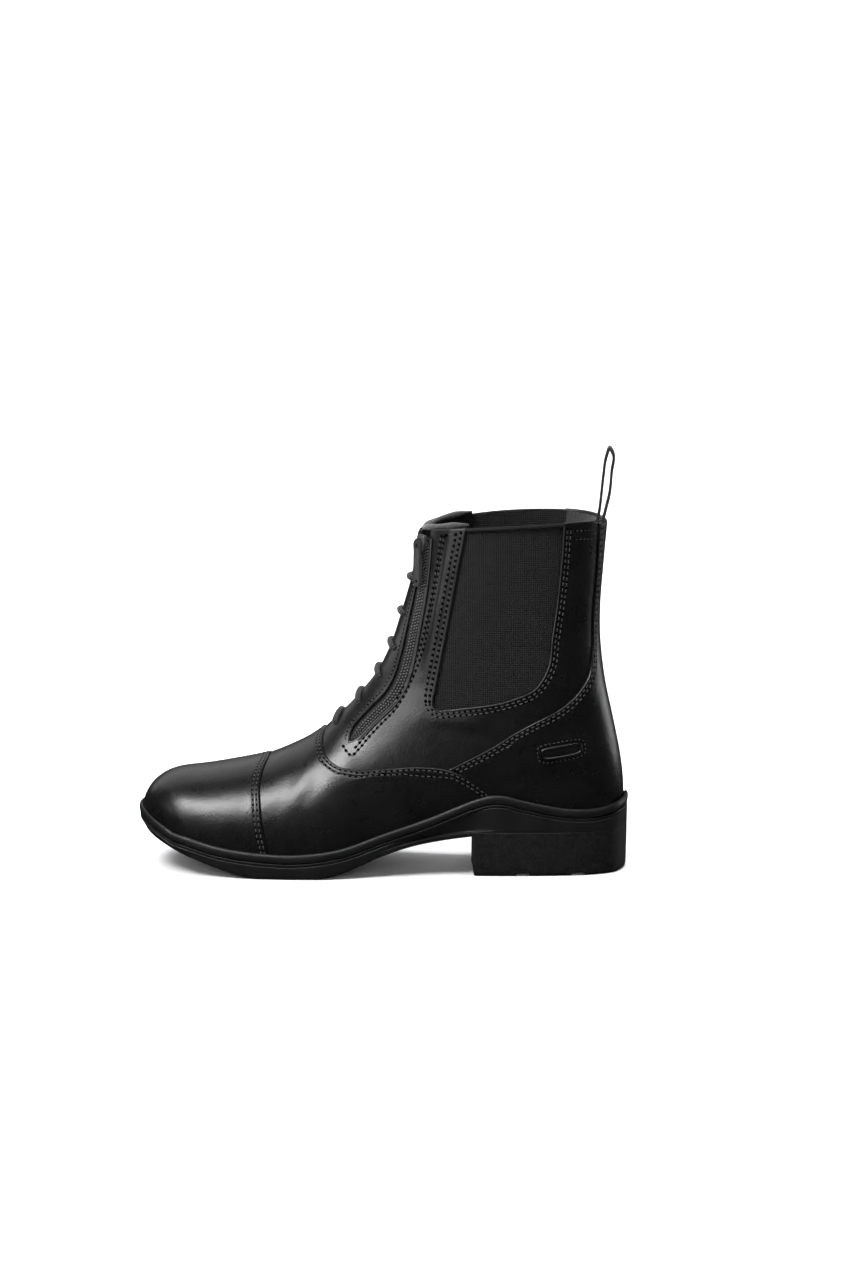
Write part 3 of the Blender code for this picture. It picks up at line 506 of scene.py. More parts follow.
slit_places = np.linspace(SLIT_FOOT, COLLAR_ROW, 60)
slit_line = past_end(skin(slit_places, np.zeros(60)), PAST_COLLAR)
slit_out = np.vstack((skin_normal(slit_places, np.zeros(60)), skin_normal(slit_places[-1:], np.zeros(1))))
slit_half = np.append(np.linspace(*SLIT_HALF_WIDTHS, 60), SLIT_HALF_WIDTHS[1])
ACROSS = np.array((0.0, 1.0, 0.0))
zip_place, zip_around = spaced(*seen_from_side(ZIP_PATH, 1.0), 1.2)
zip_points = skin(zip_place, zip_around)
zip_out = skin_normal(zip_place, zip_around)
zip_along = unit(np.gradient(zip_points, axis=0))
zip_across = unit(np.cross(zip_along, zip_out))
zip_length = run_along(zip_points) / MM
zip_half = ZIP_HALF_WIDTH * np.sqrt(np.clip((zip_length + ZIP_BLUNT) / ZIP_TAPER, 0.0, 1.0))

knife_mesh = bmesh.new()
add_bar(knife_mesh, slit_line, ACROSS, slit_out, slit_half, *SLIT_CUT)
add_bar(
    knife_mesh, past_end(zip_points, PAST_COLLAR), np.vstack((zip_across, zip_across[-1:])),
    np.vstack((zip_out, zip_out[-1:])), np.append(zip_half, zip_half[-1]), *ZIP_CUT)
for _, side in SIDES:
    add_window(knife_mesh, side)
for number in range(len(LACE_HEIGHTS)):
    for end in (-1.0, 1.0):
        spot = [np.array([value]) for value in lace_spot(number, end)]
        turn = Vector(skin_normal(*spot)[0]).to_track_quat("Z", "Y").to_matrix().to_4x4()
        bmesh.ops.create_cone(
            knife_mesh, cap_ends=True, segments=14, radius1=HOLE_RADIUS * MM, radius2=HOLE_RADIUS * MM,
            depth=PUNCH_DEPTH * MM, matrix=Matrix.Translation(Vector(skin(*spot)[0])) @ turn)
knife = add_mesh("knife", knife_mesh)
cut(quarters, knife)

# Lining: a layer of soft fleece bonded to the inside of the quarters, from the toes to the collar. It
# shows round the mouth of the boot and has the same windows, slit and slot as the leather.
LINING_THICK = 0.45
LINING_GAP = 0.05
LINING_PLACES = (0.6, COLLAR_ROW - 0.06)
fleece = new_finish("fleece_lining", 0.95, {"Sheen Weight": 0.35, "Sheen Roughness": 0.6})
fleece_nap = noise(fleece, 750.0, 4.0, 0.7)
set_relief(fleece, fleece_nap, 0.9, 0.0009)
two_tone(fleece, mapped(fleece, fleece_nap, 0.0, 1.0), (0.003, 0.0033), (0.021, 0.022))
place, around = np.meshgrid(np.linspace(*LINING_PLACES, 110), np.linspace(-1.0, 1.0, 81))
lining_mesh = bmesh.new()
wrapped(lining_mesh, on_leather(place, around, -WALL - LINING_GAP))
closed(lining_mesh)
lining = add_piece("lining", lining_mesh, fleece)
give_wall(lining, LINING_THICK)
cut(lining, knife)
bpy.data.objects.remove(knife)

# Collar edge and turned edges: the leather is folded over at the collar and painted at every cut, so a
# thin round lip runs along the collar, the slit, the zip's slot and the gusset windows.
COLLAR_LIP = 1.15
TURNED_LIP = 0.5
WINDOW_LIP = 0.7
ZIP_FACING = 1.15
SLIT_SINK = 0.35
LIP_SINK = 0.2
FACING_SINK = 0.45
FACING_REACH = 1.2
SLOT_FOOT = 1.2
ZIP_CLEAR = 0.3
WINDOW_TOPS = (48.0, 103.1)


def add_tube(bm, path, radius, sides=8):
    """Closed round tube along a path, with its lengths and turns for a pattern"""
    path = np.asarray(path)
    along = unit(np.gradient(path, axis=0))
    first = unit(np.cross(along[0], (0.3, 0.5, 0.8)))
    normals = [first]
    for step in along[1:]:
        normals.append(unit(normals[-1] - step * np.dot(normals[-1], step)))
    normals = np.array(normals)
    others = np.cross(along, normals)
    turns = np.linspace(0.0, 2 * np.pi, sides + 1)
    radius = np.broadcast_to(radius, len(path))[:, None] * MM
    table = np.array([path + (normals * math.cos(t) + others * math.sin(t)) * radius for t in turns])
    add_closed(bm, table, np.stack(np.meshgrid(run_along(path), turns / (2 * np.pi)), axis=-1))


def settled(points, lift=0.0):
    """Points brought onto the outer face of the quarters, at a height in millimetres over it"""
    found = [quarters_tree.find_nearest(Vector(point)) for point in points]
    return np.array([spot + normal * lift * MM for spot, normal, _, _ in found])


def collar_turn(x, side):
    """Turn around the collar of a point seen from the side at its top"""
    turns = np.linspace(0.0, 1.0, 400)
    return side * np.interp(x * MM + SHIFT[0], skin(np.full(400, COLLAR_ROW), turns)[:, 0], turns)


window_front, window_rear = WINDOW_TOPS
zip_collar = zip_around[-1]
turn_step = 0.01
beside_zip = skin(np.full(2, COLLAR_ROW), np.array((zip_collar, zip_collar + turn_step)))
collar_gap = (ZIP_HALF_WIDTH + ZIP_CLEAR) * MM / np.linalg.norm(beside_zip[1] - beside_zip[0]) * turn_step
slit_turn = float(lace_spot(5, SLIT_HALF_WIDTHS[1] / LACE_REACHES[5])[1])
leather_runs = (
    (collar_turn(window_front, -1), zip_collar - collar_gap), (zip_collar + collar_gap, -slit_turn),
    (slit_turn, collar_turn(window_front, 1)), (collar_turn(window_rear, 1), 1.0),
    (-1.0, collar_turn(window_rear, -1)),
)
lip_mesh = bmesh.new()
for start, end in leather_runs:
    turns = np.linspace(start, end, max(6, int(abs(end - start) * 160)))
    add_tube(lip_mesh, on_leather(np.full(len(turns), COLLAR_ROW), turns, -WALL / 2), COLLAR_LIP, 10)
for side in (-1, 1):
    edge = slit_line[:-1] + ACROSS * slit_half[:-1, None] * side * MM - slit_out[:-1] * SLIT_SINK * MM
    add_tube(lip_mesh, edge, TURNED_LIP, 6)
    window = window_outline()
    window_place, window_share = side_place(window[:, 0], window[:, 1])
    inside = window_place < COLLAR_ROW - 0.02
    rim = settled(skin(window_place[inside], side * window_share[inside]), -LIP_SINK)
    add_tube(lip_mesh, rim, WINDOW_LIP, 8)
zip_sunk = zip_points - zip_out * LIP_SINK * MM
zip_aside = zip_across * zip_half[:, None] * MM
slot_foot = zip_sunk[:1] - zip_along[:1] * SLOT_FOOT * MM
slot_edge = np.vstack(((zip_sunk - zip_aside)[::-1], slot_foot, zip_sunk + zip_aside))
add_tube(lip_mesh, slot_edge, TURNED_LIP, 8)
facing = zip_points + zip_across * ((zip_half + FACING_REACH)[:, None] * MM) - zip_out * FACING_SINK * MM
add_tube(lip_mesh, facing[2:], ZIP_FACING * np.clip(zip_half[2:] / ZIP_HALF_WIDTH, 0.4, 1.0), 10)
add_piece("turned_edges", lip_mesh, leather)

# Elastic gussets: webbing of rubber thread and black yarn, woven in fine ribs. Each is sewn into its
# window from behind, with the top edge folded over into a narrow band.
ELASTIC = 1.1
ELASTIC_DEPTH = 1.2
BAND_RADIUS = 1.25
BAND_DROP = 0.05
WEB_FOOT = 12.2
WEB_TURNS = (0.16, 0.9)
PANEL_SEAM = 1.2
WEAVE_PITCH = 0.0012
webbing = new_finish("elastic_webbing", 0.85, {"Sheen Weight": 0.06, "Sheen Roughness": 0.5})


def ridges(material, axis_value, pitch):
    """Rows of round ridges along one of the piece's own coordinates"""
    turns = combined(material, "MULTIPLY", axis_value, 2 * math.pi / pitch)
    return mapped(material, combined(material, "SINE", turns, 0.0), 0, 1, -1, 1)


def cut_once(piece, bm, operation="DIFFERENCE"):
    """Cut a piece with a mesh that is used for nothing else"""
    cutter = add_mesh("cutter", bm)
    cut(piece, cutter, operation)
    bpy.data.objects.remove(cutter)


def split_axes(material, vector):
    """The three numbers of a vector"""
    return wire(material, "ShaderNodeSeparateXYZ", {"Vector": vector}).outputs


web_axes = split_axes(webbing, own_place(webbing))
wefts = combined(webbing, "MULTIPLY", ridges(webbing, web_axes["Z"], WEAVE_PITCH), 0.8)
weave = combined(webbing, "ADD", ridges(webbing, web_axes["X"], WEAVE_PITCH), wefts)
set_relief(webbing, weave, 0.8, 0.0004)
weave_shade = combined(webbing, "ADD", weave, noise(webbing, 500.0, 3.0))
two_tone(webbing, mapped(webbing, weave_shade, 0.0, 1.0, 0.5, 2.0), (0.0005, 0.0006), (0.005, 0.0053))

folded_web = new_finish("folded_webbing", 0.8)
folded_threads = noise(folded_web, 1400.0, 3.0)
set_relief(folded_web, folded_threads, 0.6, 0.0003)
two_tone(folded_web, folded_threads, (0.0014, 0.0015), (0.005, 0.0053))

for side_name, side in SIDES:
    place, around = np.meshgrid(np.linspace(WEB_FOOT, COLLAR_ROW, 100), side * np.linspace(*WEB_TURNS, 90))
    web_mesh = bmesh.new()
    table = on_leather(place, around, -ELASTIC_DEPTH)
    wrapped(web_mesh, table if side > 0 else table[::-1])
    web = add_piece(f"elastic_{side_name}", web_mesh, webbing)
    give_wall(web, ELASTIC)
    panel_mesh = bmesh.new()
    add_window(panel_mesh, side, PANEL_SEAM)
    cut_once(web, panel_mesh, "INTERSECT")
    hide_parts(f"gusset_{side_name}")
    turns = np.linspace(collar_turn(window_front, side), collar_turn(window_rear, side), 60)
    band_mesh = bmesh.new()
    add_tube(band_mesh, on_leather(np.full(60, COLLAR_ROW - BAND_DROP), turns, -WALL / 2), BAND_RADIUS, 10)
    band = add_piece(f"elastic_band_{side_name}", band_mesh, folded_web)

# Vamp: the front panel of calf, laid over the quarters from the ball of the foot to the throat and back
# along both sides. Its edge is folded under and held by two rows of stitches in shallow grooves.
OVERLAY = 1.2
EDGE_ROUND = 1.1
SEWN_ROWS = (1.7, 3.7)
GROOVE_DEPTH = 0.22
GROOVE_WIDTH = 0.55
EDGE_STEPS = np.array((
    0.0, 0.04, 0.12, 0.25, 0.4, 0.6, 0.85, 1.1, 1.3, 1.5, 1.7,
    1.9, 2.15, 2.5, 2.9, 3.2, 3.45, 3.7, 3.95, 4.3, 4.9, 5.8,
))
CAP_SEAM = (
    (-61.4, 70.0), (-62.9, 62.3), (-65.5, 57.6), (-67.0, 50.3), (-66.2, 40.1), (-64.3, 26.9),
    (-61.4, 14.1), (-60.6, 8.0),
)
VAMP_SEAM = (
    (-29.6, 92.0), (-30.5, 82.3), (-32.8, 73.9), (-29.9, 66.3), (-23.3, 61.8), (-13.0, 60.0),
    (6.7, 61.0), (22.0, 62.1), (39.2, 60.3), (48.5, 56.8), (54.7, 53.1), (61.5, 47.6), (66.0, 43.0),
)


def edge_lift(distance, thick, edge_round=EDGE_ROUND):
    """Height of an overlay at distances from its edge: a round fold, then two sewn grooves"""
    fold = np.clip(distance / edge_round, 0.0, 1.0)
    lift = thick * np.sqrt(1 - (1 - fold) ** 2)
    for row in SEWN_ROWS:
        lift = lift - GROOVE_DEPTH * np.exp(-((distance - row) / GROOVE_WIDTH) ** 2)
    return lift


def both_sides(table, spacing):
    """A seam over the ridge, from its lateral end to its medial end"""
    place, around = seen_from_side(table, 0.5)
    share = np.maximum.accumulate(-around)
    keep = np.concatenate((share[1:] > 1e-3, [True]))
    keep &= np.concatenate(([True], np.diff(share) > 1e-5))
    place, share = place[keep], share[keep]
    share[0] = 0.0
    place, share = spaced(place, -share, spacing)
    return np.concatenate((place[::-1], place[1:])), np.concatenate((share[::-1], -share[1:]))


def rate_beside(place, around, place_step, turn_step):
    """How fast the skin moves away from a line on it as the place or the turn grows, in millimetres"""
    ahead = skin(place + place_step, around + turn_step) - skin(place - place_step, around - turn_step)
    along = unit(np.gradient(skin(place, around), axis=0))
    return np.linalg.norm(np.cross(ahead, along), axis=-1) / (2 * (place_step + turn_step)) / MM


def inset_places(place, around, distance):
    """Places of lines that run beside a seam, at distances in front of it along the fan"""
    return place[:, None] - np.asarray(distance) / rate_beside(place, around, 0.01, 0.0)[:, None]


cap_place, cap_around = both_sides(CAP_SEAM, 1.2)
vamp_place, vamp_around = both_sides(VAMP_SEAM, 1.2)


def cap_edge(around):
    """Place of the toe cap's edge at turns around the fan"""
    return np.interp(around, cap_around, cap_place)


UNDER_CAP = 3.0
VAMP_INNER_STEPS = 40
UNDER_CAP_SINK = 0.5
VAMP_THICK = 0.9
vamp_edge = inset_places(vamp_place, vamp_around, EDGE_STEPS[::-1])
vamp_front = inset_places(cap_edge(vamp_around), vamp_around, np.array([UNDER_CAP]))
shares = np.linspace(0.0, 1.0, VAMP_INNER_STEPS, endpoint=False)[None, :]
vamp_inner = vamp_front * (1 - shares) + vamp_edge[:, :1] * shares
place = np.hstack((vamp_inner, vamp_edge))
around = np.repeat(vamp_around[:, None], place.shape[1], axis=1)
under_cap = (1 - np.clip(shares[0] * 3.0, 0.0, 1.0)) ** 2
lift = np.concatenate((OVERLAY - UNDER_CAP_SINK * under_cap, edge_lift(EDGE_STEPS[::-1], OVERLAY)))
vamp_mesh = bmesh.new()
wrapped(vamp_mesh, on_leather(place, around, lift))
vamp = add_piece("vamp_panel", vamp_mesh, leather)
give_wall(vamp, VAMP_THICK)
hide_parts("vamp")

# Toe cap: a second layer of stiffened calf over the front of the vamp, lasted smooth round the toe and
# sewn down along its rear edge with two rows of stitches. A dull black strip runs along that edge: it is
# the cut edge's black paint, and also painted shade for the shadow the edge's step casts on the vamp.
CAP_LIFT = 1.6
CAP_THICK = 1.2
CAP_INNER_STEPS = 64
EDGE_SHADE_RADIUS = 0.5
EDGE_SHADE_LIFT = 0.75
cap_edge_places = inset_places(cap_place, cap_around, EDGE_STEPS[::-1])
shares = np.linspace(0.0, 1.0, CAP_INNER_STEPS, endpoint=False)[None, :]
place = np.hstack((cap_edge_places[:, :1] * shares, cap_edge_places))
around = np.repeat(cap_around[:, None], place.shape[1], axis=1)
lift = np.concatenate((np.full(CAP_INNER_STEPS, CAP_LIFT), edge_lift(EDGE_STEPS[::-1], CAP_LIFT)))
cap_mesh = bmesh.new()
wrapped(cap_mesh, on_leather(place, around, lift))
cap = add_piece("toe_cap_panel", cap_mesh, leather)
give_wall(cap, CAP_THICK)
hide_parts("toe_cap")
# Dull black strip at the cap's rear edge: edge paint, and painted shade for the shadow under the edge's step
edge_paint_and_shade = new_finish("edge_paint_and_shade", 0.8, {"Specular IOR Level": 0.1})
two_tone(edge_paint_and_shade, noise(edge_paint_and_shade, 500.0), (0.0008, 0.0008), (0.0018, 0.0018))
cap_edge_shade_mesh = bmesh.new()
add_tube(cap_edge_shade_mesh, on_leather(cap_place, cap_around, EDGE_SHADE_LIFT), EDGE_SHADE_RADIUS, 8)
add_piece("toe_cap_cut_edge", cap_edge_shade_mesh, edge_paint_and_shade)

# Counter and back strip: a moulded heel stiffener covered in calf, running up the back to the collar as
# a narrow strip. Its edge is cut, folded and sewn with two rows, and it tucks under the vamp in front.
COUNTER_SEAM = (
    (40.6, 61.2), (65.1, 74.3), (76.2, 81.8), (87.5, 88.1), (99.9, 94.4), (110.0, 102.5),
    (116.5, 112.0), (118.3, 125.0), (118.6, 145.0), (120.0, 165.0), (122.2, 205.0),
)
HEEL_ROW = 16
COUNTER_FRONT = 10.7
COUNTER_ROUND = 0.5
COUNTER_INNER_STEPS = 44
COUNTER_THICK = 0.8
TUCK_LENGTH = 0.45
TUCK_LIFT = 0.45
line = smooth_line(COUNTER_SEAM, 0.5)
seam_place, seam_share = side_place(line[:, 0], line[:, 1])
seam_place = np.maximum.accumulate(seam_place + np.arange(len(seam_place)) * 1e-6)
counter_place = np.linspace(COUNTER_FRONT, COLLAR_ROW, 210)
counter_share = np.interp(counter_place, seam_place, seam_share)


def inset_shares(place, share, distance, side):
    """Turns of lines that run behind a seam, at distances around the fan from it"""
    return share[:, None] + np.asarray(distance) / rate_beside(place, side * share, 0.0, 0.004)[:, None]


front_ease = np.clip((counter_place - COUNTER_FRONT) / TUCK_LENGTH, 0.0, 1.0)
front_lift = (TUCK_LIFT + (1 - TUCK_LIFT) * front_ease * front_ease * (3 - 2 * front_ease))[:, None]
counter_mesh = bmesh.new()
for _, side in SIDES:
    edge_shares = np.minimum(inset_shares(counter_place, counter_share, EDGE_STEPS, side), 0.995)
    shares = np.linspace(0.0, 1.0, COUNTER_INNER_STEPS + 1)[None, 1:]
    inner = edge_shares[:, -1:] + (1.0 - edge_shares[:, -1:]) * shares
    share = np.hstack((edge_shares, inner))
    lift = np.concatenate((
        edge_lift(EDGE_STEPS, OVERLAY, COUNTER_ROUND), np.full(COUNTER_INNER_STEPS, OVERLAY))) * front_lift
    place = np.repeat(counter_place[:, None], share.shape[1], axis=1).T
    table = on_leather(place, side * share.T, lift.T)
    behind_seam = np.clip((np.arange(len(table)) - len(EDGE_STEPS)) / 12, 0.0, 1.0)[:, None]
    table = bridged(table, place, behind_seam * (1 - share.T ** 16))
    table[-1, counter_place >= HEEL_ROW, 1] = SHIFT[1]
    wrapped(counter_mesh, table if side > 0 else table[::-1])
closed(counter_mesh)
counter = add_piece("heel_counter", counter_mesh, leather)
give_wall(counter, COUNTER_THICK)
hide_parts("counter")

# Badge: a small bare patch of calf over a stiff core, sewn on the lateral side of the counter. It has a
# raised rim round a flat field.
BADGE_CENTRE = (101.7, 71.3)
BADGE_SIZE = (23.0, 7.5)
BADGE_TILT = 8.5
BADGE_FULL = 4.2
BADGE_SINK = 0.2
BADGE_PROFILE = (
    (1.04, 0.0), (1.02, 0.5), (0.99, 0.95), (0.94, 1.35), (0.87, 1.6), (0.79, 1.68), (0.71, 1.58),
    (0.64, 1.3), (0.6, 1.12), (0.55, 1.1), (0.45, 1.16), (0.3, 1.24), (0.15, 1.28), (0.02, 1.3),
)


def badge_places(scale):
    """Places and turns of the badge's outline, shrunk towards its centre"""
    turns = np.linspace(0.0, 2 * np.pi, 73)
    inset = (1 - scale) * BADGE_SIZE[1] / 2
    u = (BADGE_SIZE[0] / 2 - inset) * bent(np.cos(turns), BADGE_FULL)
    v = (BADGE_SIZE[1] / 2 - inset) * bent(np.sin(turns), BADGE_FULL)
    c, s = math.cos(math.radians(BADGE_TILT)), math.sin(math.radians(BADGE_TILT))
    place, share = side_place(BADGE_CENTRE[0] + u * c - v * s, BADGE_CENTRE[1] + u * s + v * c)
    return place, -share


badge_rings = [on_leather(*badge_places(scale), OVERLAY - BADGE_SINK + rise) for scale, rise in BADGE_PROFILE]
badge_mesh = bmesh.new()
add_closed(badge_mesh, np.array(badge_rings))
badge = add_piece("bare_badge", badge_mesh, leather)
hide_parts("badge")

# Stitching: waxed black thread, about 3 mm to the stitch, in double rows along the panels' edges, round
# the gussets, beside the zip and below the collar, and in a single row round the badge.
STITCH_PITCH = 3.25
STITCH_SIZE = (1.25, 0.36, 0.42)
# Size of the flat black discs laid between stitches: painted shade of the needle holes, small and large
PIT_SHADE_SIZE = (0.9, 0.72, 0.13)
SMALL_PIT_SHADE = 0.95
LARGE_PIT_SHADE = 1.3
FINE_STITCH = 0.75
# Outer row beside the zip, from the short arm of its foot round and up to the collar: x and z from the side
ZIP_ROW = (
    (-20.4, 71.6), (-18.2, 69.0), (-15.8, 67.3), (-12.0, 70.2), (-6.4, 76.6), (-1.1, 82.4), (4.2, 87.8),
    (9.0, 93.0), (13.0, 99.0), (17.0, 107.5), (20.0, 114.5), (22.6, 122.0), (25.6, 132.3), (28.6, 146.6),
    (30.6, 156.0), (34.5, 180.0), (36.2, 190.6),
)
ZIP_ROW_FOOT = 3.6
ZIP_ROW_GAP = 2.3
FOOT_POINTS = 10
THREAD_LIFT = 0.06
SEWN_PROUD = 0.08
ZIP_LEFT_ROW = 2.8
FINE_PITCH = 2.4
BADGE_ROW = 1.42
COLLAR_ROWS = (0.22, 0.42)
COUNTER_ROW_START = 10.95
STRIP_FOOT = (94.0, 104.0)
STRIP_REAR = 60.0
STRIP_CORNER = ((37.4, 191.9), (40.0, 192.6), (42.6, 192.7))
GUSSET_ROWS = (1.8, 4.0)
thread = new_finish("waxed_thread", 0.5)
twist = wire(thread, "ShaderNodeTexWave", {"Vector": own_place(thread), "Scale": 900.0, "Distortion": 1.0})
set_relief(thread, twist.outputs["Fac"], 0.4, 0.0001)
two_tone(thread, noise(thread, 400.0), (0.018, 0.019), (0.055, 0.057))
# Needle holes: flat black discs on the leather between stitches, painted shade for the dark pits of the holes
needle_pit_shade = new_finish("needle_pit_shade", 0.9, {"Specular IOR Level": 0.0})
two_tone(needle_pit_shade, noise(needle_pit_shade, 400.0), (0.0008, 0.0008), (0.0016, 0.0016))
stitch_spots = []
pit_shade_spots = []


def read_at(at, length, points):
    """Points of a line at lengths along it"""
    return np.stack([np.interp(at, length, points[:, axis]) for axis in range(3)], axis=-1)


def beside(place, around, distance):
    """A line on the skin moved sideways over it by millimetres, to its left seen from outside"""
    step = 0.002
    by_place = (skin(place + step, around) - skin(place - step, around)) / (2 * step)
    by_around = (skin(place, around + step) - skin(place, around - step)) / (2 * step)
    along = unit(np.gradient(skin(place, around), axis=0))
    move = np.cross(skin_normal(place, around), along) * (np.asarray(distance) * MM)[..., None]
    e, f, g = (by_place**2).sum(-1), (by_place * by_around).sum(-1), (by_around**2).sum(-1)
    u, v = (move * by_place).sum(-1), (move * by_around).sum(-1)
    det = e * g - f * f
    moved_place = np.clip(place + (u * g - v * f) / det, 0.0, COLLAR_ROW)
    return moved_place, np.clip(around + (v * e - u * f) / det, -1.0, 1.0)


def on_row(place, around, lift, pitch, size=1.0, pit_shade_scale=SMALL_PIT_SHADE):
    """Note a row of stitches along a line on the skin, with black discs of painted pit shade between them"""
    points = on_leather(place, around, lift)
    if lift < OVERLAY / 2:
        points = settled(points, lift)
    length = run_along(points) / MM
    count = 2 * max(1, int(length[-1] / pitch)) + 1
    at = np.arange(count) * length[-1] / (count - 1)
    at_place, at_around = np.interp(at, length, place), np.interp(at, length, around)
    normals = skin_normal(at_place, at_around)
    centres, along = read_at(at, length, points), read_at(at, length, np.gradient(points, axis=0))
    along = unit(along - normals * (along * normals).sum(-1, keepdims=True))
    for number, (centre, forward, out) in enumerate(zip(centres, along, np.cross(normals, along))):
        frame_of = Matrix((forward, out, np.cross(forward, out))).transposed().to_4x4()
        frame_of.translation = centre
        if number % 2:
            stitch_spots.append(frame_of @ Matrix.Scale(size, 4))
        else:
            pit_shade_spots.append(frame_of @ Matrix.Scale(size * pit_shade_scale, 4))


sewn_lift = OVERLAY - GROOVE_DEPTH + SEWN_PROUD
cap_rows = inset_places(cap_place, cap_around, np.array(SEWN_ROWS))
vamp_rows = inset_places(vamp_place, vamp_around, np.array(SEWN_ROWS))
for row in range(len(SEWN_ROWS)):
    on_row(cap_rows[:, row], cap_around, sewn_lift + CAP_LIFT - OVERLAY, STITCH_PITCH)
    on_row(vamp_rows[:, row], vamp_around, sewn_lift, STITCH_PITCH)
for _, side in SIDES:
    shown = counter_place > COUNTER_ROW_START
    for row in inset_shares(counter_place, counter_share, SEWN_ROWS, side).T:
        on_row(counter_place[shown], side * np.minimum(row[shown], 0.99), sewn_lift, STITCH_PITCH)
    window = window_outline()
    strip_share = np.interp(window[:, 1], STRIP_FOOT, (0.0, 1.0)) * (window[:, 0] < STRIP_REAR)
    for distance in GUSSET_ROWS:
        row = window_outline(distance * (0.85 + 0.35 * strip_share))
        row_place, row_share = side_place(row[:, 0], row[:, 1])
        inside = row_place < COLLAR_ROW - 0.15
        row_place, row_around = row_place[inside], side * row_share[inside]
        on_strip = strip_share[inside] > 0.3
        for part, pit_shade_scale in ((on_strip, LARGE_PIT_SHADE), (~on_strip, SMALL_PIT_SHADE)):
            on_row(row_place[part], row_around[part], THREAD_LIFT, STITCH_PITCH, pit_shade_scale=pit_shade_scale)
    rear_turn = np.linspace(abs(collar_turn(window_rear, side)) + 0.05, 0.91, 30)
    for below in COLLAR_ROWS:
        on_row(np.full(30, COLLAR_ROW - below), side * rear_turn, THREAD_LIFT, FINE_PITCH, FINE_STITCH)
left_reach = (ZIP_HALF_WIDTH + ZIP_LEFT_ROW) * np.sqrt(np.clip((zip_length + 1.5) / ZIP_TAPER, 0.2, 1.0))
row_place, row_around = beside(zip_place, zip_around, left_reach)
on_row(row_place, row_around, THREAD_LIFT, STITCH_PITCH * FINE_STITCH, FINE_STITCH)
row_place, row_around = spaced(*seen_from_side(ZIP_ROW, 0.5), 0.6)
on_row(row_place, row_around, THREAD_LIFT, STITCH_PITCH, pit_shade_scale=LARGE_PIT_SHADE)
past_foot = skin(row_place, row_around)[:, 0] / MM > ZIP_ROW[2][0] + ZIP_ROW_FOOT
past_foot &= np.arange(len(row_place)) > FOOT_POINTS
second_row = beside(row_place[past_foot], row_around[past_foot], ZIP_ROW_GAP)
on_row(*second_row, THREAD_LIFT, STITCH_PITCH, pit_shade_scale=LARGE_PIT_SHADE)
on_row(*spaced(*seen_from_side(STRIP_CORNER, 0.5), 0.6), 0.1, STITCH_PITCH, pit_shade_scale=LARGE_PIT_SHADE)
on_row(*badge_places(BADGE_ROW), OVERLAY + 0.05, FINE_PITCH, FINE_STITCH)


def stamped(name, spots, material, size, segments, tipped=0.0):
    """One piece with a copy of a small oval at each spot"""
    shape = bmesh.new()
    bmesh.ops.create_uvsphere(shape, u_segments=segments[0], v_segments=segments[1], radius=MM)
    bmesh.ops.rotate(shape, verts=shape.verts, cent=(0, 0, 0), matrix=Matrix.Rotation(tipped, 3, "Y"))
    bmesh.ops.scale(shape, verts=shape.verts, vec=size)
    master = bpy.data.meshes.new(f"{name}_master")
    shape.to_mesh(master)
    shape.free()
    joined = bmesh.new()
    for spot in spots:
        copy = master.copy()
        copy.transform(spot)
        joined.from_mesh(copy)
        bpy.data.meshes.remove(copy)
    bpy.data.meshes.remove(master)
    return add_piece(name, joined, material, 80)


stamped("stitching", stitch_spots, thread, STITCH_SIZE, (6, 4), math.pi / 2)
stamped("stitch_holes", pit_shade_spots, needle_pit_shade, PIT_SHADE_SIZE, (8, 4))

# Tongue: a leaf of calf behind the laced slit, sewn in at the throat and hanging free inside the collar,
# with its fleece backing rolled over the top edge.
TONGUE_FOOT = 7.2
TONGUE_SHARE = 1 / 3
TONGUE_CLEAR = 0.5
TONGUE_THICK = 1.5
TONGUE_RISE = 2.4
TONGUE_ROLL = 1.7
ROLL_UNEVEN = 0.16


def ease_edges(piece, width, segments):
    """Round a piece's edges by a width in millimetres"""
    bevel = piece.modifiers.new("eased", "BEVEL")
    bevel.affect = "EDGES"
    bevel.width = width * MM
    bevel.segments = segments
    bevel.profile = 0.5
    bevel.material = -1


tongue_places = np.append(np.linspace(TONGUE_FOOT, COLLAR_ROW, 70), COLLAR_ROW)
place, around = np.meshgrid(tongue_places, np.linspace(-TONGUE_SHARE, TONGUE_SHARE, 41))
table = on_leather(place, around, -WALL - TONGUE_CLEAR)
table[:, -1] += unit(table[:, -2] - table[:, -4]) * TONGUE_RISE * MM
tongue_mesh = bmesh.new()
wrapped(tongue_mesh, table)
tongue = add_piece("tongue_leaf", tongue_mesh, leather)
give_wall(tongue, TONGUE_THICK)
ease_edges(tongue, 0.6, 3)
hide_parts("tongue")
roll_line = table[:, -1] - skin_normal(place[:, -1], around[:, -1]) * TONGUE_THICK / 2 * MM
roll_size = TONGUE_ROLL * (1 + ROLL_UNEVEN * np.sin(np.linspace(0.0, 23.0, len(roll_line))))
roll_size *= np.clip(1.25 - np.abs(np.linspace(-1.0, 1.0, len(roll_line))) ** 6, 0.35, 1.0)
roll_mesh = bmesh.new()
add_tube(roll_mesh, roll_line, roll_size, 12)
add_piece("tongue_roll", roll_mesh, fleece)

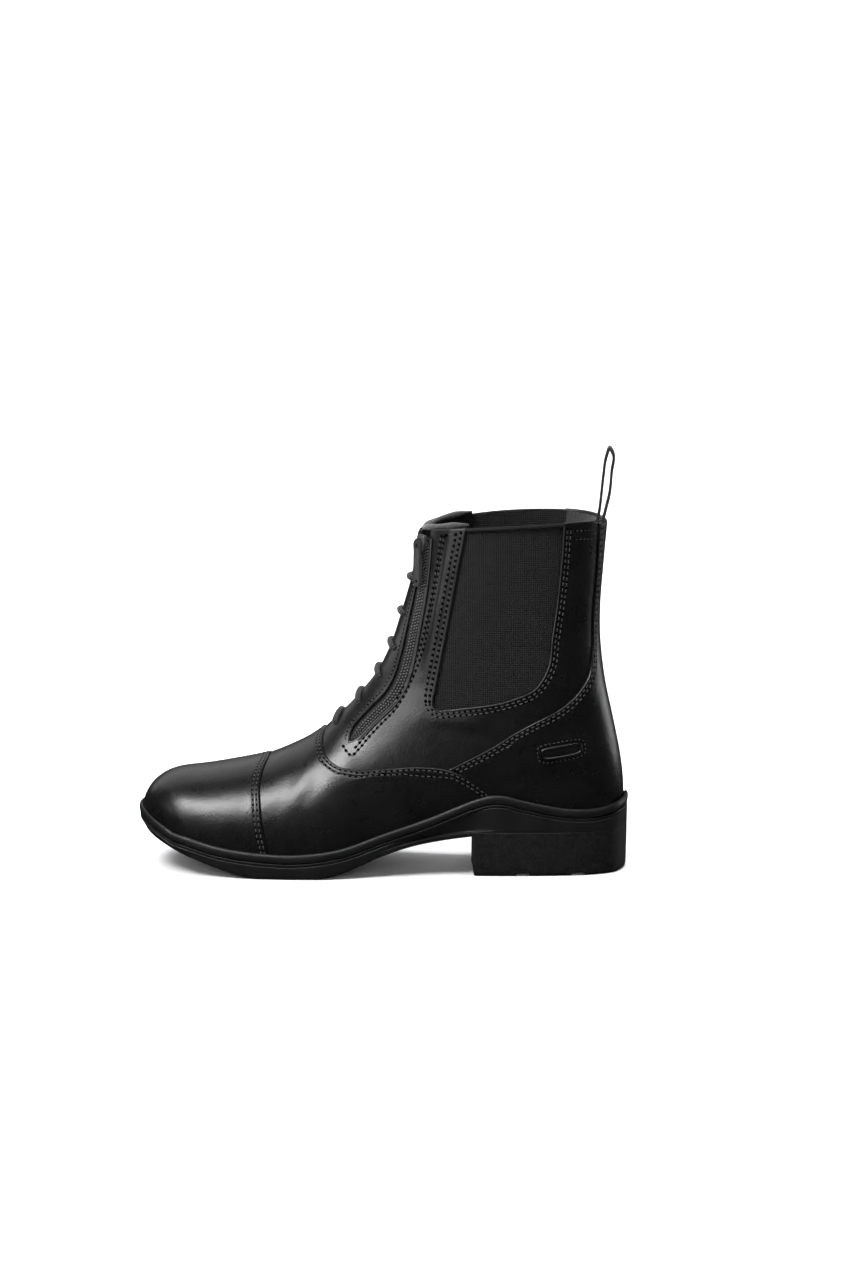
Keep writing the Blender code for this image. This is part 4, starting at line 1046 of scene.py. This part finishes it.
# Zip: a nylon coil chain on woven tape, sewn in behind the slot on the lateral side. The coil's turns show
# as three staggered columns, with a narrow strip of tape beside them.
TAPE_DEPTH = 1.4
TAPE_THICK = 0.7
TAPE_SEAM = 0.9
COIL_DEPTH = 0.75
COIL_PITCH = 1.75
COIL_SIZE = (0.52, 0.62, 0.75)
COIL_COLUMNS = (-2.0, -0.2, 1.6)
COIL_SHIFT = 1.0
COIL_START = 2.5
COIL_SPARE = 3.0
tape = new_finish("zip_tape", 0.8, {"Sheen Weight": 0.1})
tape_weave = cells(tape, 1900.0)
set_relief(tape, tape_weave, 0.7, 0.0003)
two_tone(tape, mapped(tape, tape_weave, 0.0, 1.0, 0.1, 0.7), (0.006, 0.0065), (0.0016, 0.0017))
coil_nylon = new_finish("coil_nylon", 0.38)
two_tone(coil_nylon, noise(coil_nylon, 500.0), (0.06, 0.062), (0.10, 0.103))
set_relief(coil_nylon, noise(coil_nylon, 2500.0), 0.2, 0.00005)
tape_mesh = bmesh.new()
tape_levels = (-TAPE_DEPTH - TAPE_THICK, -TAPE_DEPTH)
add_bar(tape_mesh, zip_points, zip_across, zip_out, zip_half + TAPE_SEAM, *tape_levels)
add_piece("zip_tape_strip", tape_mesh, tape)
coil_spots = []
coil_count = int((zip_length[-1] - COIL_SPARE) / COIL_PITCH)
for turn_number in range(coil_count):
    for column, offset in enumerate(COIL_COLUMNS):
        at = COIL_START + (turn_number + 0.5 * (column % 2)) * COIL_PITCH
        spot, along, across, out = (
            read_at(at, zip_length, line) for line in (zip_points, zip_along, zip_across, zip_out))
        half = np.interp(at, zip_length, zip_half) / ZIP_HALF_WIDTH
        frame_of = Matrix((unit(along), unit(across), unit(out))).transposed().to_4x4()
        frame_of.translation = spot + across * (offset + COIL_SHIFT) * half * MM - out * COIL_DEPTH * MM
        coil_spots.append(frame_of @ Matrix.Diagonal((1.0, half, 1.0, 1.0)))
chain = stamped("zip_coil_turns", coil_spots, coil_nylon, COIL_SIZE, (8, 5))
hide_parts("zip_chain")

# Zip slider and pull tab: die-cast zinc, lacquered black. The slider sits at the top of the chain and its
# bail holds the tab, a flat bar with a raised rim and an eye at either end, which hangs straight down.
SLIDER_SIZE = (7.6, 9.0, 2.6)
BAIL_RADII = (1.4, 2.5)
PULL_SIZE = (6.0, 25.5, 1.4)
PULL_NECK = 0.84
PULL_EYE = 1.25
PULL_SHOULDER = -6.0
PULL_RIM = 0.38
PULL_SLOT = (1.4, -3.1)
BAR = 0.7
lacquer = new_finish("black_lacquer", 0.32, {"Metallic": 0.4})
drive(lacquer, "Roughness", mapped(lacquer, noise(lacquer, 600.0, 4.0), 0.26, 0.44))
two_tone(lacquer, noise(lacquer, 200.0), (0.035, 0.036), (0.06, 0.062))
set_relief(lacquer, noise(lacquer, 1800.0), 0.15, 0.00004)
hinge = next(joint for joint in frame["record"]["behaviour"]["joints"] if joint["name"] == "zip_pull_hinge")
slider_x = -Vector(hinge["axis"]).normalized()
top_along = Vector(zip_points[-1] - zip_points[-9]).normalized()
slider_out = slider_x.cross(top_along).normalized()
slider_along = slider_out.cross(slider_x)
hinge_point = Vector(hinge["pos_m"])
bail_height = SLIDER_SIZE[2] + BAIL_RADII[0] + 0.1
slider_frame = Matrix((slider_x, slider_along, slider_out)).transposed().to_4x4()
slider_frame.translation = hinge_point - slider_out * bail_height * MM


def plate(outline, low, high, edge, segments=2):
    """Flat plate of an outline in its own plane, with its edges rounded"""
    bm = bmesh.new()
    add_extruded(bm, [(x * MM, y * MM, low * MM) for x, y in outline], (0, 0, (high - low) * MM))
    bmesh.ops.bevel(
        bm, geom=bm.edges[:], offset=edge * MM, segments=segments, profile=0.5, affect="EDGES", material=-1)
    return bm


width, length, thick = SLIDER_SIZE
slider_outline = (
    (-0.30 * width, -length / 2), (0.30 * width, -length / 2), (width / 2, -0.05 * length),
    (width / 2, 0.36 * length), (0.36 * width, length / 2), (-0.36 * width, length / 2),
    (-width / 2, 0.36 * length), (-width / 2, -0.05 * length),
)
slider_mesh = plate(slider_outline, 0.0, thick, 0.5, 3)
bail_turns = np.linspace(0.0, np.pi, 15)
middle_radius = sum(BAIL_RADII) / 2
arch = [(0.0, -middle_radius * math.cos(a), bail_height + middle_radius * math.sin(a)) for a in bail_turns]
arch = [(0.0, -middle_radius, thick - 0.8)] + arch + [(0.0, middle_radius, thick - 0.8)]
add_tube(slider_mesh, np.array(arch) * MM, (BAIL_RADII[1] - BAIL_RADII[0]) / 2, 10)
slider_mesh.transform(slider_frame)
slider = add_piece("slider_body", slider_mesh, lacquer)
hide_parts("zip_slider")

wide, long, flat = PULL_SIZE
pull_turns = np.linspace(np.pi, 2 * np.pi, 13)
pull_outline = [(wide / 2 * PULL_NECK, BAR), (-wide / 2 * PULL_NECK, BAR), (-wide / 2, PULL_SHOULDER)]
pull_outline += [(wide / 2 * math.cos(a), 3.0 + BAR - long + wide / 2 * math.sin(a)) for a in pull_turns]
pull_outline += [(wide / 2, PULL_SHOULDER)]
pull_mesh = plate(pull_outline, -flat / 2, flat / 2, 0.3)
upright = Vector((0, 0, 1))
pull_down = Matrix((slider_x, upright, slider_x.cross(upright))).transposed().to_4x4()
pull_down.translation = hinge_point
rim_path = [(x * PULL_NECK, y * 0.985 - 0.25, flat / 2) for x, y in pull_outline]
for face_side in (-1, 1):
    rim = np.array(rim_path + rim_path[:1]) * (1, 1, face_side) * MM
    add_tube(pull_mesh, smooth_line(rim, 0.0006), PULL_RIM, 6)
pull_mesh.transform(pull_down)
pull = add_piece("pull_tab_bar", pull_mesh, lacquer, body="pull_tab")
slot_half, slot_end = PULL_SLOT
slot_outline = ((-slot_half, -BAR), (slot_half, -BAR), (slot_half, slot_end), (-slot_half, slot_end))
eyes_mesh = plate(slot_outline, -3.0, 3.0, 0.1, 1)
bmesh.ops.create_cone(
    eyes_mesh, cap_ends=True, segments=20, radius1=PULL_EYE * MM, radius2=PULL_EYE * MM, depth=6 * MM,
    matrix=Matrix.Translation((0, (3.4 - long) * MM, 0)))
eyes_mesh.transform(pull_down)
cut_once(pull, eyes_mesh)
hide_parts("zip_pull")

# Lace: one length of round braided elastic, threaded up the front through the punched holes. It starts
# behind the lowest hole, crosses the slit in six bars, slants up behind the leather from each bar to the
# next, and ends behind the top hole.
lace_finish = new_finish("braided_elastic", 0.7, {"Sheen Weight": 0.15})
LACE_RADIUS = 1.65
BRAID_PITCH = 0.0022
BRAID_STRANDS = 4
HIDDEN_LIFT = -3.0
over_lift = LACE_RADIUS - 0.35
# Share of a bar's level reach from the ridge, height over the leather there, and share of full thickness
LACE_STEPS = (
    (-1.0, HIDDEN_LIFT, 0.45), (-1.0, -1.0, 0.8), (-0.93, 0.7, 0.95), (-0.8, over_lift - 0.25, 1.0),
    (-0.55, over_lift, 1.0), (-0.25, over_lift, 1.0), (0.0, over_lift, 1.0), (0.25, over_lift, 1.0),
    (0.55, over_lift, 1.0), (0.8, over_lift - 0.25, 1.0), (0.93, 0.7, 0.95), (1.0, -1.0, 0.8),
    (1.0, HIDDEN_LIFT, 0.45),
)
lace_points = []
for number in range(len(LACE_HEIGHTS)):
    for share, lift, thickness in LACE_STEPS:
        spot = [np.array([value]) for value in lace_spot(number, share)]
        lace_points.append((*on_leather(*spot, np.array([lift]))[0], thickness * LACE_RADIUS * MM))
lace_line = smooth_line(lace_points, 0.0007)
lace_mesh = bmesh.new()
add_tube(lace_mesh, lace_line[:, :3], lace_line[:, 3] / MM, 12)
lace = add_piece("lace", lace_mesh, lace_finish, 60)


def uv_axes(material):
    """The piece's own pattern coordinates, along it and across it"""
    return split_axes(material, wire(material, "ShaderNodeTexCoord").outputs["UV"])


strand = uv_axes(lace_finish)
run = combined(lace_finish, "MULTIPLY", strand["X"], 2 * math.pi / BRAID_PITCH)
round_turn = combined(lace_finish, "MULTIPLY", strand["Y"], 2 * math.pi * BRAID_STRANDS)
left_hand, right_hand = (
    combined(lace_finish, "SINE", combined(lace_finish, way, run, round_turn), 0.0)
    for way in ("ADD", "SUBTRACT"))
braid = combined(lace_finish, "MULTIPLY", left_hand, right_hand)
set_relief(lace_finish, braid, 0.8, 0.0003)
two_tone(lace_finish, mapped(lace_finish, braid, 0.0, 1.0, -0.6, 0.6), (0.008, 0.009), (0.024, 0.025))
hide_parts(*[f"lace_bar_{number}" for number in range(1, len(LACE_HEIGHTS) + 1)])

# Pull loop: flat woven tape, doubled into a narrow loop and sewn in behind the collar at the back, so that
# it stands up above the rim.
LOOP_WIDTH = 11.0
LOOP_THICK = 1.6
LOOP_PATH = (
    (118.9, 184.0), (119.2, 190.0), (120.6, 196.5), (121.9, 202.5), (122.9, 211.0), (124.2, 223.6),
    (125.8, 234.0), (127.6, 238.4), (129.3, 235.6), (128.7, 224.8), (127.5, 212.3), (125.4, 203.4),
    (124.3, 198.5),
)
loop_tape = new_finish("loop_tape_weave", 0.8, {"Sheen Weight": 0.1})
loop_axes = uv_axes(loop_tape)
loop_threads = combined(loop_tape, "MULTIPLY", ridges(loop_tape, loop_axes["Y"], 0.0016), 0.6)
loop_weave = combined(loop_tape, "ADD", ridges(loop_tape, loop_axes["X"], 0.0011), loop_threads)
set_relief(loop_tape, loop_weave, 0.8, 0.0003)
two_tone(loop_tape, mapped(loop_tape, loop_weave, 0.0, 1.0, 0.2, 1.4), (0.004, 0.0045), (0.018, 0.019))
loop_line = smooth_line(LOOP_PATH, 1.0)
across_places = np.linspace(-0.5, 0.5, 13) * LOOP_WIDTH
table = np.zeros((len(across_places), len(loop_line), 3))
table[..., 0] = loop_line[None, :, 0] * MM + SHIFT[0]
table[..., 1] = across_places[:, None] * MM + SHIFT[1]
table[..., 2] = loop_line[None, :, 1] * MM
loop_uv = np.stack(np.meshgrid(np.arange(len(loop_line)) * MM, across_places * MM), axis=-1)
loop_mesh = bmesh.new()
wrapped(loop_mesh, table, loop_uv)
loop = add_piece("pull_loop_tape", loop_mesh, loop_tape)
give_wall(loop, LOOP_THICK, 0.0)
ease_edges(loop, 0.3, 2)
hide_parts("pull_loop")

# Outsole: one rubber moulding with its tread, toe spring and arch. Below the welt it has a rib between two
# grooves, then a plain wall with a lip along the waist.
BEAD_HEIGHT = 4.8
BEAD_REACH = 4.0
HEEL_HEIGHT = 25.0
HEEL_BREAST_X = 52.7
TREAD = (
    (-139.0, 22.4), (-131.0, 19.0), (-116.0, 13.5), (-101.0, 8.6), (-87.0, 4.2), (-76.0, 1.0),
    (-68.5, 0.0), (-33.0, 0.0), (-22.0, 2.6), (-10.0, 7.2), (3.0, 12.6), (18.0, 17.2),
    (36.0, 20.6), (52.0, 22.6), (139.0, 22.6),
)
TOE_UNDERCUT = 2.6
TOE_UNDERCUT_RUN = (-141.0, -139.0, -128.0, -95.0)
WAIST_RECESS = 2.8
WAIST_RUN = (2.0, 24.0, 46.0, 66.0)
# Reach beside the bead, shares of waist recess and toe undercut, datum and rise, from the seat down
SOLE_PROFILE = (
    (-4.0, 0.0, 0.0, "feather", -0.5), (-1.2, 0.0, 0.0, "feather", -0.5),
    (-0.62, 0.0, 0.0, "feather", -0.62), (-0.5, 0.0, 0.0, "feather", -0.8),
    (-0.46, 0.0, 0.0, "feather", -1.2), (-0.55, 0.0, 0.0, "feather", -1.6),
    (-0.75, 0.0, 0.0, "feather", -1.75), (-1.1, 0.0, 0.0, "feather", -1.95),
    (-1.1, 0.1, 0.0, "feather", -2.15), (-0.75, 0.3, 0.0, "feather", -2.35),
    (-0.5, 0.4, 0.0, "feather", -2.6), (-0.48, 0.6, 0.1, "wall", 0.8),
    (-0.5, 0.8, 0.25, "wall", 0.5), (-0.55, 0.95, 0.4, "wall", 0.2), (-0.6, 1.0, 0.5, "tread", 3.3),
    (-0.58, 0.85, 0.52, "tread", 2.9), (-0.56, 0.15, 0.58, "tread", 2.6), (-0.6, 0.0, 0.6, "tread", 2.35),
    (-0.68, 0.0, 0.75, "tread", 1.6), (-0.8, 0.0, 0.9, "tread", 0.8), (-1.05, 0.0, 0.95, "tread", 0.3),
    (-1.8, 0.0, 1.0, "tread", 0.0), (-6.0, 0.0, 1.0, "tread", 0.0),
)
WALL_FOOT = 3.3
WALL_TOP = 2.6
rubber = new_finish("sole_rubber", 0.45)
set_relief(rubber, noise(rubber, 700.0, 4.0, 0.6), 0.25, 0.0002)
drive(rubber, "Roughness", mapped(rubber, noise(rubber, 90.0, 4.0), 0.42, 0.58))
two_tone(rubber, noise(rubber, 60.0, 4.0), (0.0032, 0.0035), (0.0062, 0.0066))

# Lower edge of the upper, from the middle of the heel along the lateral side, round the toe and back
EDGE_POINTS = 140
edge_places = np.concatenate((np.linspace(HEEL_ROW, 0.0, EDGE_POINTS), np.zeros(36)))
edge_turns = np.concatenate((np.full(EDGE_POINTS, -1.0), np.linspace(-1.0, 0.0, 37)[1:]))
half_place, half_around = spaced(edge_places, edge_turns, 2.0)
edge_places = np.concatenate((half_place, half_place[-2:0:-1]))
edge_turns = np.concatenate((half_around, -half_around[-2:0:-1]))
feather = skin(edge_places, edge_turns)


def away_from(line):
    """Level directions away from a closed line"""
    along = np.roll(line, -1, axis=0) - np.roll(line, 1, axis=0)
    return unit(np.stack((-along[:, 1], along[:, 0], np.zeros(len(line))), axis=-1))


def eased_ring(line, rounds):
    """A closed line smoothed a little"""
    for _ in range(rounds):
        line = (np.roll(line, 1, axis=0) + 2 * line + np.roll(line, -1, axis=0)) / 4
    return line


PROBE = 0.025
probe_mesh = bmesh.new()
place, around = np.meshgrid(np.linspace(0.0, COLLAR_ROW, 97), np.linspace(-1.0, 1.0, 73))
wrapped(probe_mesh, skin(place, around))
probe_tree = BVHTree.FromBMesh(probe_mesh)
probe_mesh.free()
bead_line = []
for foot, away in zip(feather, away_from(feather)):
    start = Vector(foot + away * PROBE + np.array((0, 0, BEAD_HEIGHT * MM)))
    gap = probe_tree.ray_cast(start, Vector(-away))[3] or PROBE
    bead_line.append(foot + away * max(PROBE - gap, 0.0))
bead_line = eased_ring(np.array(bead_line), 4)
bead_line[:, 2] = feather[:, 2]


def edge_ring(reach, height, line):
    """Ring of points at level reaches in millimetres from a line round the boot, at heights in metres"""
    ring = line + away_from(line) * np.broadcast_to(reach, len(line))[:, None] * MM
    ring[:, 2] = height(ring[:, 0])
    return ring


tread_line = smooth_line(TREAD, 1.0)


def tread_height(x):
    """Height of the tread in metres at places along the sole"""
    return np.maximum(np.interp(x - SHIFT[0], tread_line[:, 0] * MM, tread_line[:, 1] * MM), 0.0)


def sole_ring(reach, recess, draw, datum, rise):
    """Ring of the outsole's side at one step of its profile"""
    x = (bead_line[:, 0] - SHIFT[0]) / MM
    waist = WAIST_RECESS * np.interp(x, WAIST_RUN, (0, 1, 1, 0))
    toe = TOE_UNDERCUT * np.interp(x, TOE_UNDERCUT_RUN, (0, 1, 1, 0))

    def height(along):
        tread = tread_height(along)
        low = tread + WALL_FOOT * MM
        high = feather[:, 2] - WALL_TOP * MM
        if datum == "wall":
            return low + (high - low) * rise
        return (feather[:, 2] if datum == "feather" else tread) + rise * MM
    return edge_ring(BEAD_REACH + reach - recess * waist - draw * toe, height, bead_line)


def lofted(rings, capped=True):
    """Body through rings of matching points; capped, it is closed across at both ends"""
    bm = bmesh.new()
    wrapped(bm, np.array([np.vstack((ring, ring[:1])) for ring in rings]))
    if capped:
        for ring in (rings[0], rings[-1]):
            half = len(ring) // 2
            there, back = np.arange(half + 1), -np.arange(half + 1)
            shares = np.linspace(0.0, 1.0, 9)[:, None, None]
            wrapped(bm, ring[there][None] * (1 - shares) + ring[back][None] * shares)
    closed(bm)
    bmesh.ops.recalc_face_normals(bm, faces=bm.faces)
    return bm


def box_mesh(low, high):
    """Plain box between two corners, in the frame's millimetres"""
    bm = bmesh.new()
    middle = [(a + b) / 2 * MM for a, b in zip(low, high)]
    size = [(b - a) * MM for a, b in zip(low, high)]
    bmesh.ops.create_cube(bm, size=1.0, matrix=Matrix.Translation(middle) @ Matrix.Diagonal((*size, 1.0)))
    return bm


sole_mesh = lofted([sole_ring(*step) for step in SOLE_PROFILE])
outsole = add_piece("outsole_moulding", sole_mesh, rubber, 30)
cut_once(outsole, box_mesh((HEEL_BREAST_X - 0.2, -90, -10), (200, 90, HEEL_HEIGHT + 0.05)))
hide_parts("outsole")

# Welt bead: a round rubber strip laid on the edge of the outsole, close against the leather all round. It
# covers the joint between leather and sole.
WELT_PROFILE = (
    (1.7, -0.2), (1.7, 3.6), (1.85, 4.3), (2.25, 4.75), (2.75, 4.78), (3.25, 4.45), (3.65, 3.9),
    (3.9, 3.2), (4.0, 2.4), (3.97, 1.6), (3.85, 0.9), (3.6, 0.3), (3.3, 0.0), (2.6, -0.2),
)


def over_feather(reach, rise, line):
    """Ring at a level reach from a line, and at a rise in millimetres over the leather's lower edge"""
    return edge_ring(reach, lambda x: feather[:, 2] + rise * MM, line)


welt_rings = [over_feather(reach, rise, bead_line) for reach, rise in WELT_PROFILE]
welt = add_piece("welt_bead", lofted(welt_rings + welt_rings[:1], capped=False), rubber, 50)
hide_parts("welt")

# Heel: a matte rubber block moulded with a fine speckled grain and two channels across its foot, fixed
# under the heel seat of the outsole.
HEEL_PROFILE = (
    (-3.0, HEEL_HEIGHT - 0.02), (-0.8, HEEL_HEIGHT - 0.05), (-0.6, HEEL_HEIGHT - 0.3), (-0.75, 17.0),
    (-0.95, 9.0), (-1.1, 2.6), (-1.25, 1.6), (-1.6, 0.8), (-2.1, 0.25), (-2.8, 0.0), (-6.0, 0.0),
)
HEEL_POINTS = 180
BREAST_CORNER = 4.0
BREAST_SLOPE = 0.2
CHANNELS = ((76.6, 84.0), (107.6, 115.4))
CHANNEL_DEPTH = 2.0
heel_rubber = new_finish("heel_rubber", 0.62)
speckle = combined(heel_rubber, "ADD", cells(heel_rubber, 1300.0), noise(heel_rubber, 1800.0))
set_relief(heel_rubber, speckle, 0.5, 0.0003)
heel_cloud = mapped(heel_rubber, noise(heel_rubber, 800.0, 2.0, 0.6), 0.0, 1.0, 0.4, 0.62)
two_tone(heel_rubber, heel_cloud, (0.0008, 0.0009), (0.0085, 0.009))


def heel_ring(inset, height):
    """D-shaped ring of evenly spaced points, with a straight breast and round corners"""
    whole = edge_ring(BEAD_REACH + inset, lambda x: np.full(len(x), height * MM), bead_line)
    breast_x = (HEEL_BREAST_X - inset * BREAST_SLOPE) * MM + SHIFT[0]
    past = np.clip((whole[:, 0] - breast_x) / (BREAST_CORNER * MM), 0.0, 1.0)
    ring = whole[past > 0.0]
    half = int(np.argmax(np.linalg.norm(np.diff(ring[:, :2], axis=0), axis=1))) + 1
    start, end = ring[half - 1], ring[half]
    corner = BREAST_CORNER * MM
    breast = []
    for spot, way in ((start, 1), (end, -1)):
        breast.append(np.array((
            spot + (-0.35 * corner, way * 0.12 * corner, 0),
            (breast_x + 0.12 * corner, spot[1] + way * 0.4 * corner, start[2]),
            (breast_x, spot[1] + way * corner, start[2]),
        )))
    straight = np.linspace(start[1] + 2 * corner, end[1] - 2 * corner, 11)
    middle = np.array([(breast_x, y, start[2]) for y in straight])
    ring = np.vstack((ring[:half], breast[0], middle, breast[1][::-1], ring[half:]))
    loop = np.vstack((ring, ring[:1]))
    length = run_along(loop)
    return read_at(np.linspace(0.0, length[-1], HEEL_POINTS, endpoint=False), length, loop)


heel_mesh = lofted([heel_ring(*step) for step in HEEL_PROFILE])
heel = add_piece("heel_block", heel_mesh, heel_rubber, 40)
for start, end in CHANNELS:
    low = (start + SHIFT[0] / MM, -80.0, -5.0)
    high = (end + SHIFT[0] / MM, 80.0, CHANNEL_DEPTH)
    cut_once(heel, box_mesh(low, high))
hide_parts("heel")

# Insole: a fibre board with a black felt top, cut to the inside of the upper. It is laid loose on the
# sole, inside the leather's lower edge.
INSOLE_THICK = 3.0
INSOLE_PROFILE = ((3.0, 0.0), (1.8, 0.0), (2.2, 1.5), (2.6, 2.6), (3.0, INSOLE_THICK), (6.0, INSOLE_THICK))
felt = new_finish("insole_felt", 0.95, {"Sheen Weight": 0.3})
felt_nap = noise(felt, 1200.0, 4.0, 0.7)
set_relief(felt, felt_nap, 0.7, 0.0004)
two_tone(felt, mapped(felt, felt_nap, 0.0, 1.0), (0.014, 0.015), (0.045, 0.047))
insole_rings = [over_feather(-WALL - inset, rise, feather) for inset, rise in INSOLE_PROFILE]
insole = add_piece("insole_board", lofted(insole_rings), felt, 50)
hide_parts("insole")

# Studio: a wide pale paper floor that runs up behind into a backdrop, a soft light high on the toe's side,
# large ones behind and overhead, and a narrow strip and a rim light for the edges. Two panels are flagged
# off all but the shaft, and a fill lights only the floor.
SHAFT_PIECES = (
    "quarters", "turned_edges", "stitching", "zip_tape_strip", "zip_coil_turns", "slider_body",
    "pull_tab_bar",
)
FLOOR_COLOUR = (0.86, 0.87)
paper = new_finish("backdrop_paper", 0.9, {"Base Color": tone(FLOOR_COLOUR)})
set_relief(paper, noise(paper, 40.0), 0.02, 0.001)
floor_bend = [(-4.0, 0.0), (1.5, 0.0), (2.6, 0.0), (3.4, 0.15), (3.9, 0.7), (4.1, 1.6), (4.1, 4.5)]
floor_line = smooth_line(floor_bend, 0.1)
floor_widths = np.linspace(-5.0, 5.0, 3)
table = np.zeros((len(floor_line), len(floor_widths), 3))
table[..., 0] = floor_widths[None, :]
table[..., 1] = floor_line[:, None, 0]
table[..., 2] = np.maximum(floor_line[:, None, 1], 0.0)
floor_mesh = bmesh.new()
wrapped(floor_mesh, table)
floor = add_mesh("floor", floor_mesh, paper)
floor.visible_glossy = False


def soft_light(name, place, aim, size, energy, mirrored=True, seen_by=None):
    """Rectangular light facing a point; it may stay out of mirror images, or reach only some pieces"""
    lamp = bpy.data.lights.new(name, "AREA")
    lamp.shape = "RECTANGLE"
    lamp.size, lamp.size_y = size
    lamp.energy = energy
    holder = bpy.data.objects.new(name, lamp)
    holder.location = place
    holder.rotation_euler = (Vector(aim) - Vector(place)).to_track_quat("-Z", "Y").to_euler()
    holder.visible_glossy = mirrored
    if seen_by:
        holder.light_linking.receiver_collection = seen_by
    bpy.context.collection.objects.link(holder)


floor_only = bpy.data.collections.new("floor_only")
floor_only.objects.link(floor)
shaft_pieces = bpy.data.collections.new("shaft_pieces")
for name in SHAFT_PIECES:
    shaft_pieces.objects.link(bpy.data.objects[name])
soft_light("toe_softbox", (-0.70, -0.71, 1.35), (-0.09, -0.03, 0.04), (0.8, 0.6), 24.0)
soft_light("rear_panel", (-0.5, 2.2, 1.6), (0.0, 0.0, 0.05), (3.6, 2.4), 16.0)
soft_light("side_panel", (-1.3, -0.75, 0.95), (0.0, 0.0, 0.1), (1.1, 0.7), 3.0)
soft_light("edge_strip", (0.32, -0.55, 1.5), (0.07, 0.0, 0.08), (0.9, 0.3), 5.0)
soft_light("shaft_panel", (-0.76, -0.90, 0.44), (0.03, 0.0, 0.12), (0.76, 0.80), 5.6, seen_by=shaft_pieces)
soft_light("throat_panel", (-1.16, 0.25, 0.27), (0.01, -0.02, 0.14), (0.6, 0.5), 1.3, seen_by=shaft_pieces)
soft_light("heel_rim", (1.15, 0.7, 0.25), (0.12, 0.0, 0.09), (0.6, 0.5), 2.6)
soft_light("front_fill", (0.2, -2.6, 1.1), (0.0, 0.0, 0.05), (2.4, 1.2), 9.0, mirrored=False)
soft_light("floor_fill", (-0.2, -1.8, 0.5), (0.0, 0.0, 0.0), (2.0, 0.8), 10.0, False, floor_only)
soft_light("overhead", (0.0, 0.3, 2.2), (0.0, 0.0, 0.0), (3.4, 2.8), 84.0, mirrored=False)
soft_light("backdrop_wash", (0.0, 1.6, 3.2), (0.0, 3.8, 0.6), (4.0, 0.8), 160.0, mirrored=False)
world = bpy.data.worlds.new("studio")
world.use_nodes = True
ambient = world.node_tree.nodes["Background"].inputs
ambient["Color"].default_value = (1.0, 1.0, 1.0, 1.0)
ambient["Strength"].default_value = 0.012
bpy.context.scene.world = world
bpy.context.scene.view_settings.view_transform = "Standard"

# Camera: a long lens 2.3 m from the boot and half a metre above the floor, a few degrees round towards the
# heel, aimed so that the boot stands in the picture as it does in the photograph.
IMAGE_SIZE = (853, 1280)
CAMERA_AZIMUTH = 3.5
CAMERA_AWAY = 2.30
CAMERA_HEIGHT = 0.53
FOCAL_PIXELS = 4138.0
SENSOR = 36.0
AIM_HEIGHT = 0.10
AIM_RIGHT = 0.025
AIM_UP = 0.0284
turn = math.radians(CAMERA_AZIMUTH)
camera_data = bpy.data.cameras.new("photo_camera")
camera_data.sensor_width = SENSOR
camera_data.lens = FOCAL_PIXELS / IMAGE_SIZE[1] * SENSOR
camera = bpy.data.objects.new("photo_camera", camera_data)
camera.location = (CAMERA_AWAY * math.sin(turn), -CAMERA_AWAY * math.cos(turn), CAMERA_HEIGHT)
aim = Vector((AIM_RIGHT * math.cos(turn), AIM_RIGHT * math.sin(turn), AIM_HEIGHT + AIM_UP))
camera.rotation_euler = (aim - camera.location).to_track_quat("-Z", "Y").to_euler()
bpy.context.collection.objects.link(camera)
bpy.context.scene.camera = camera
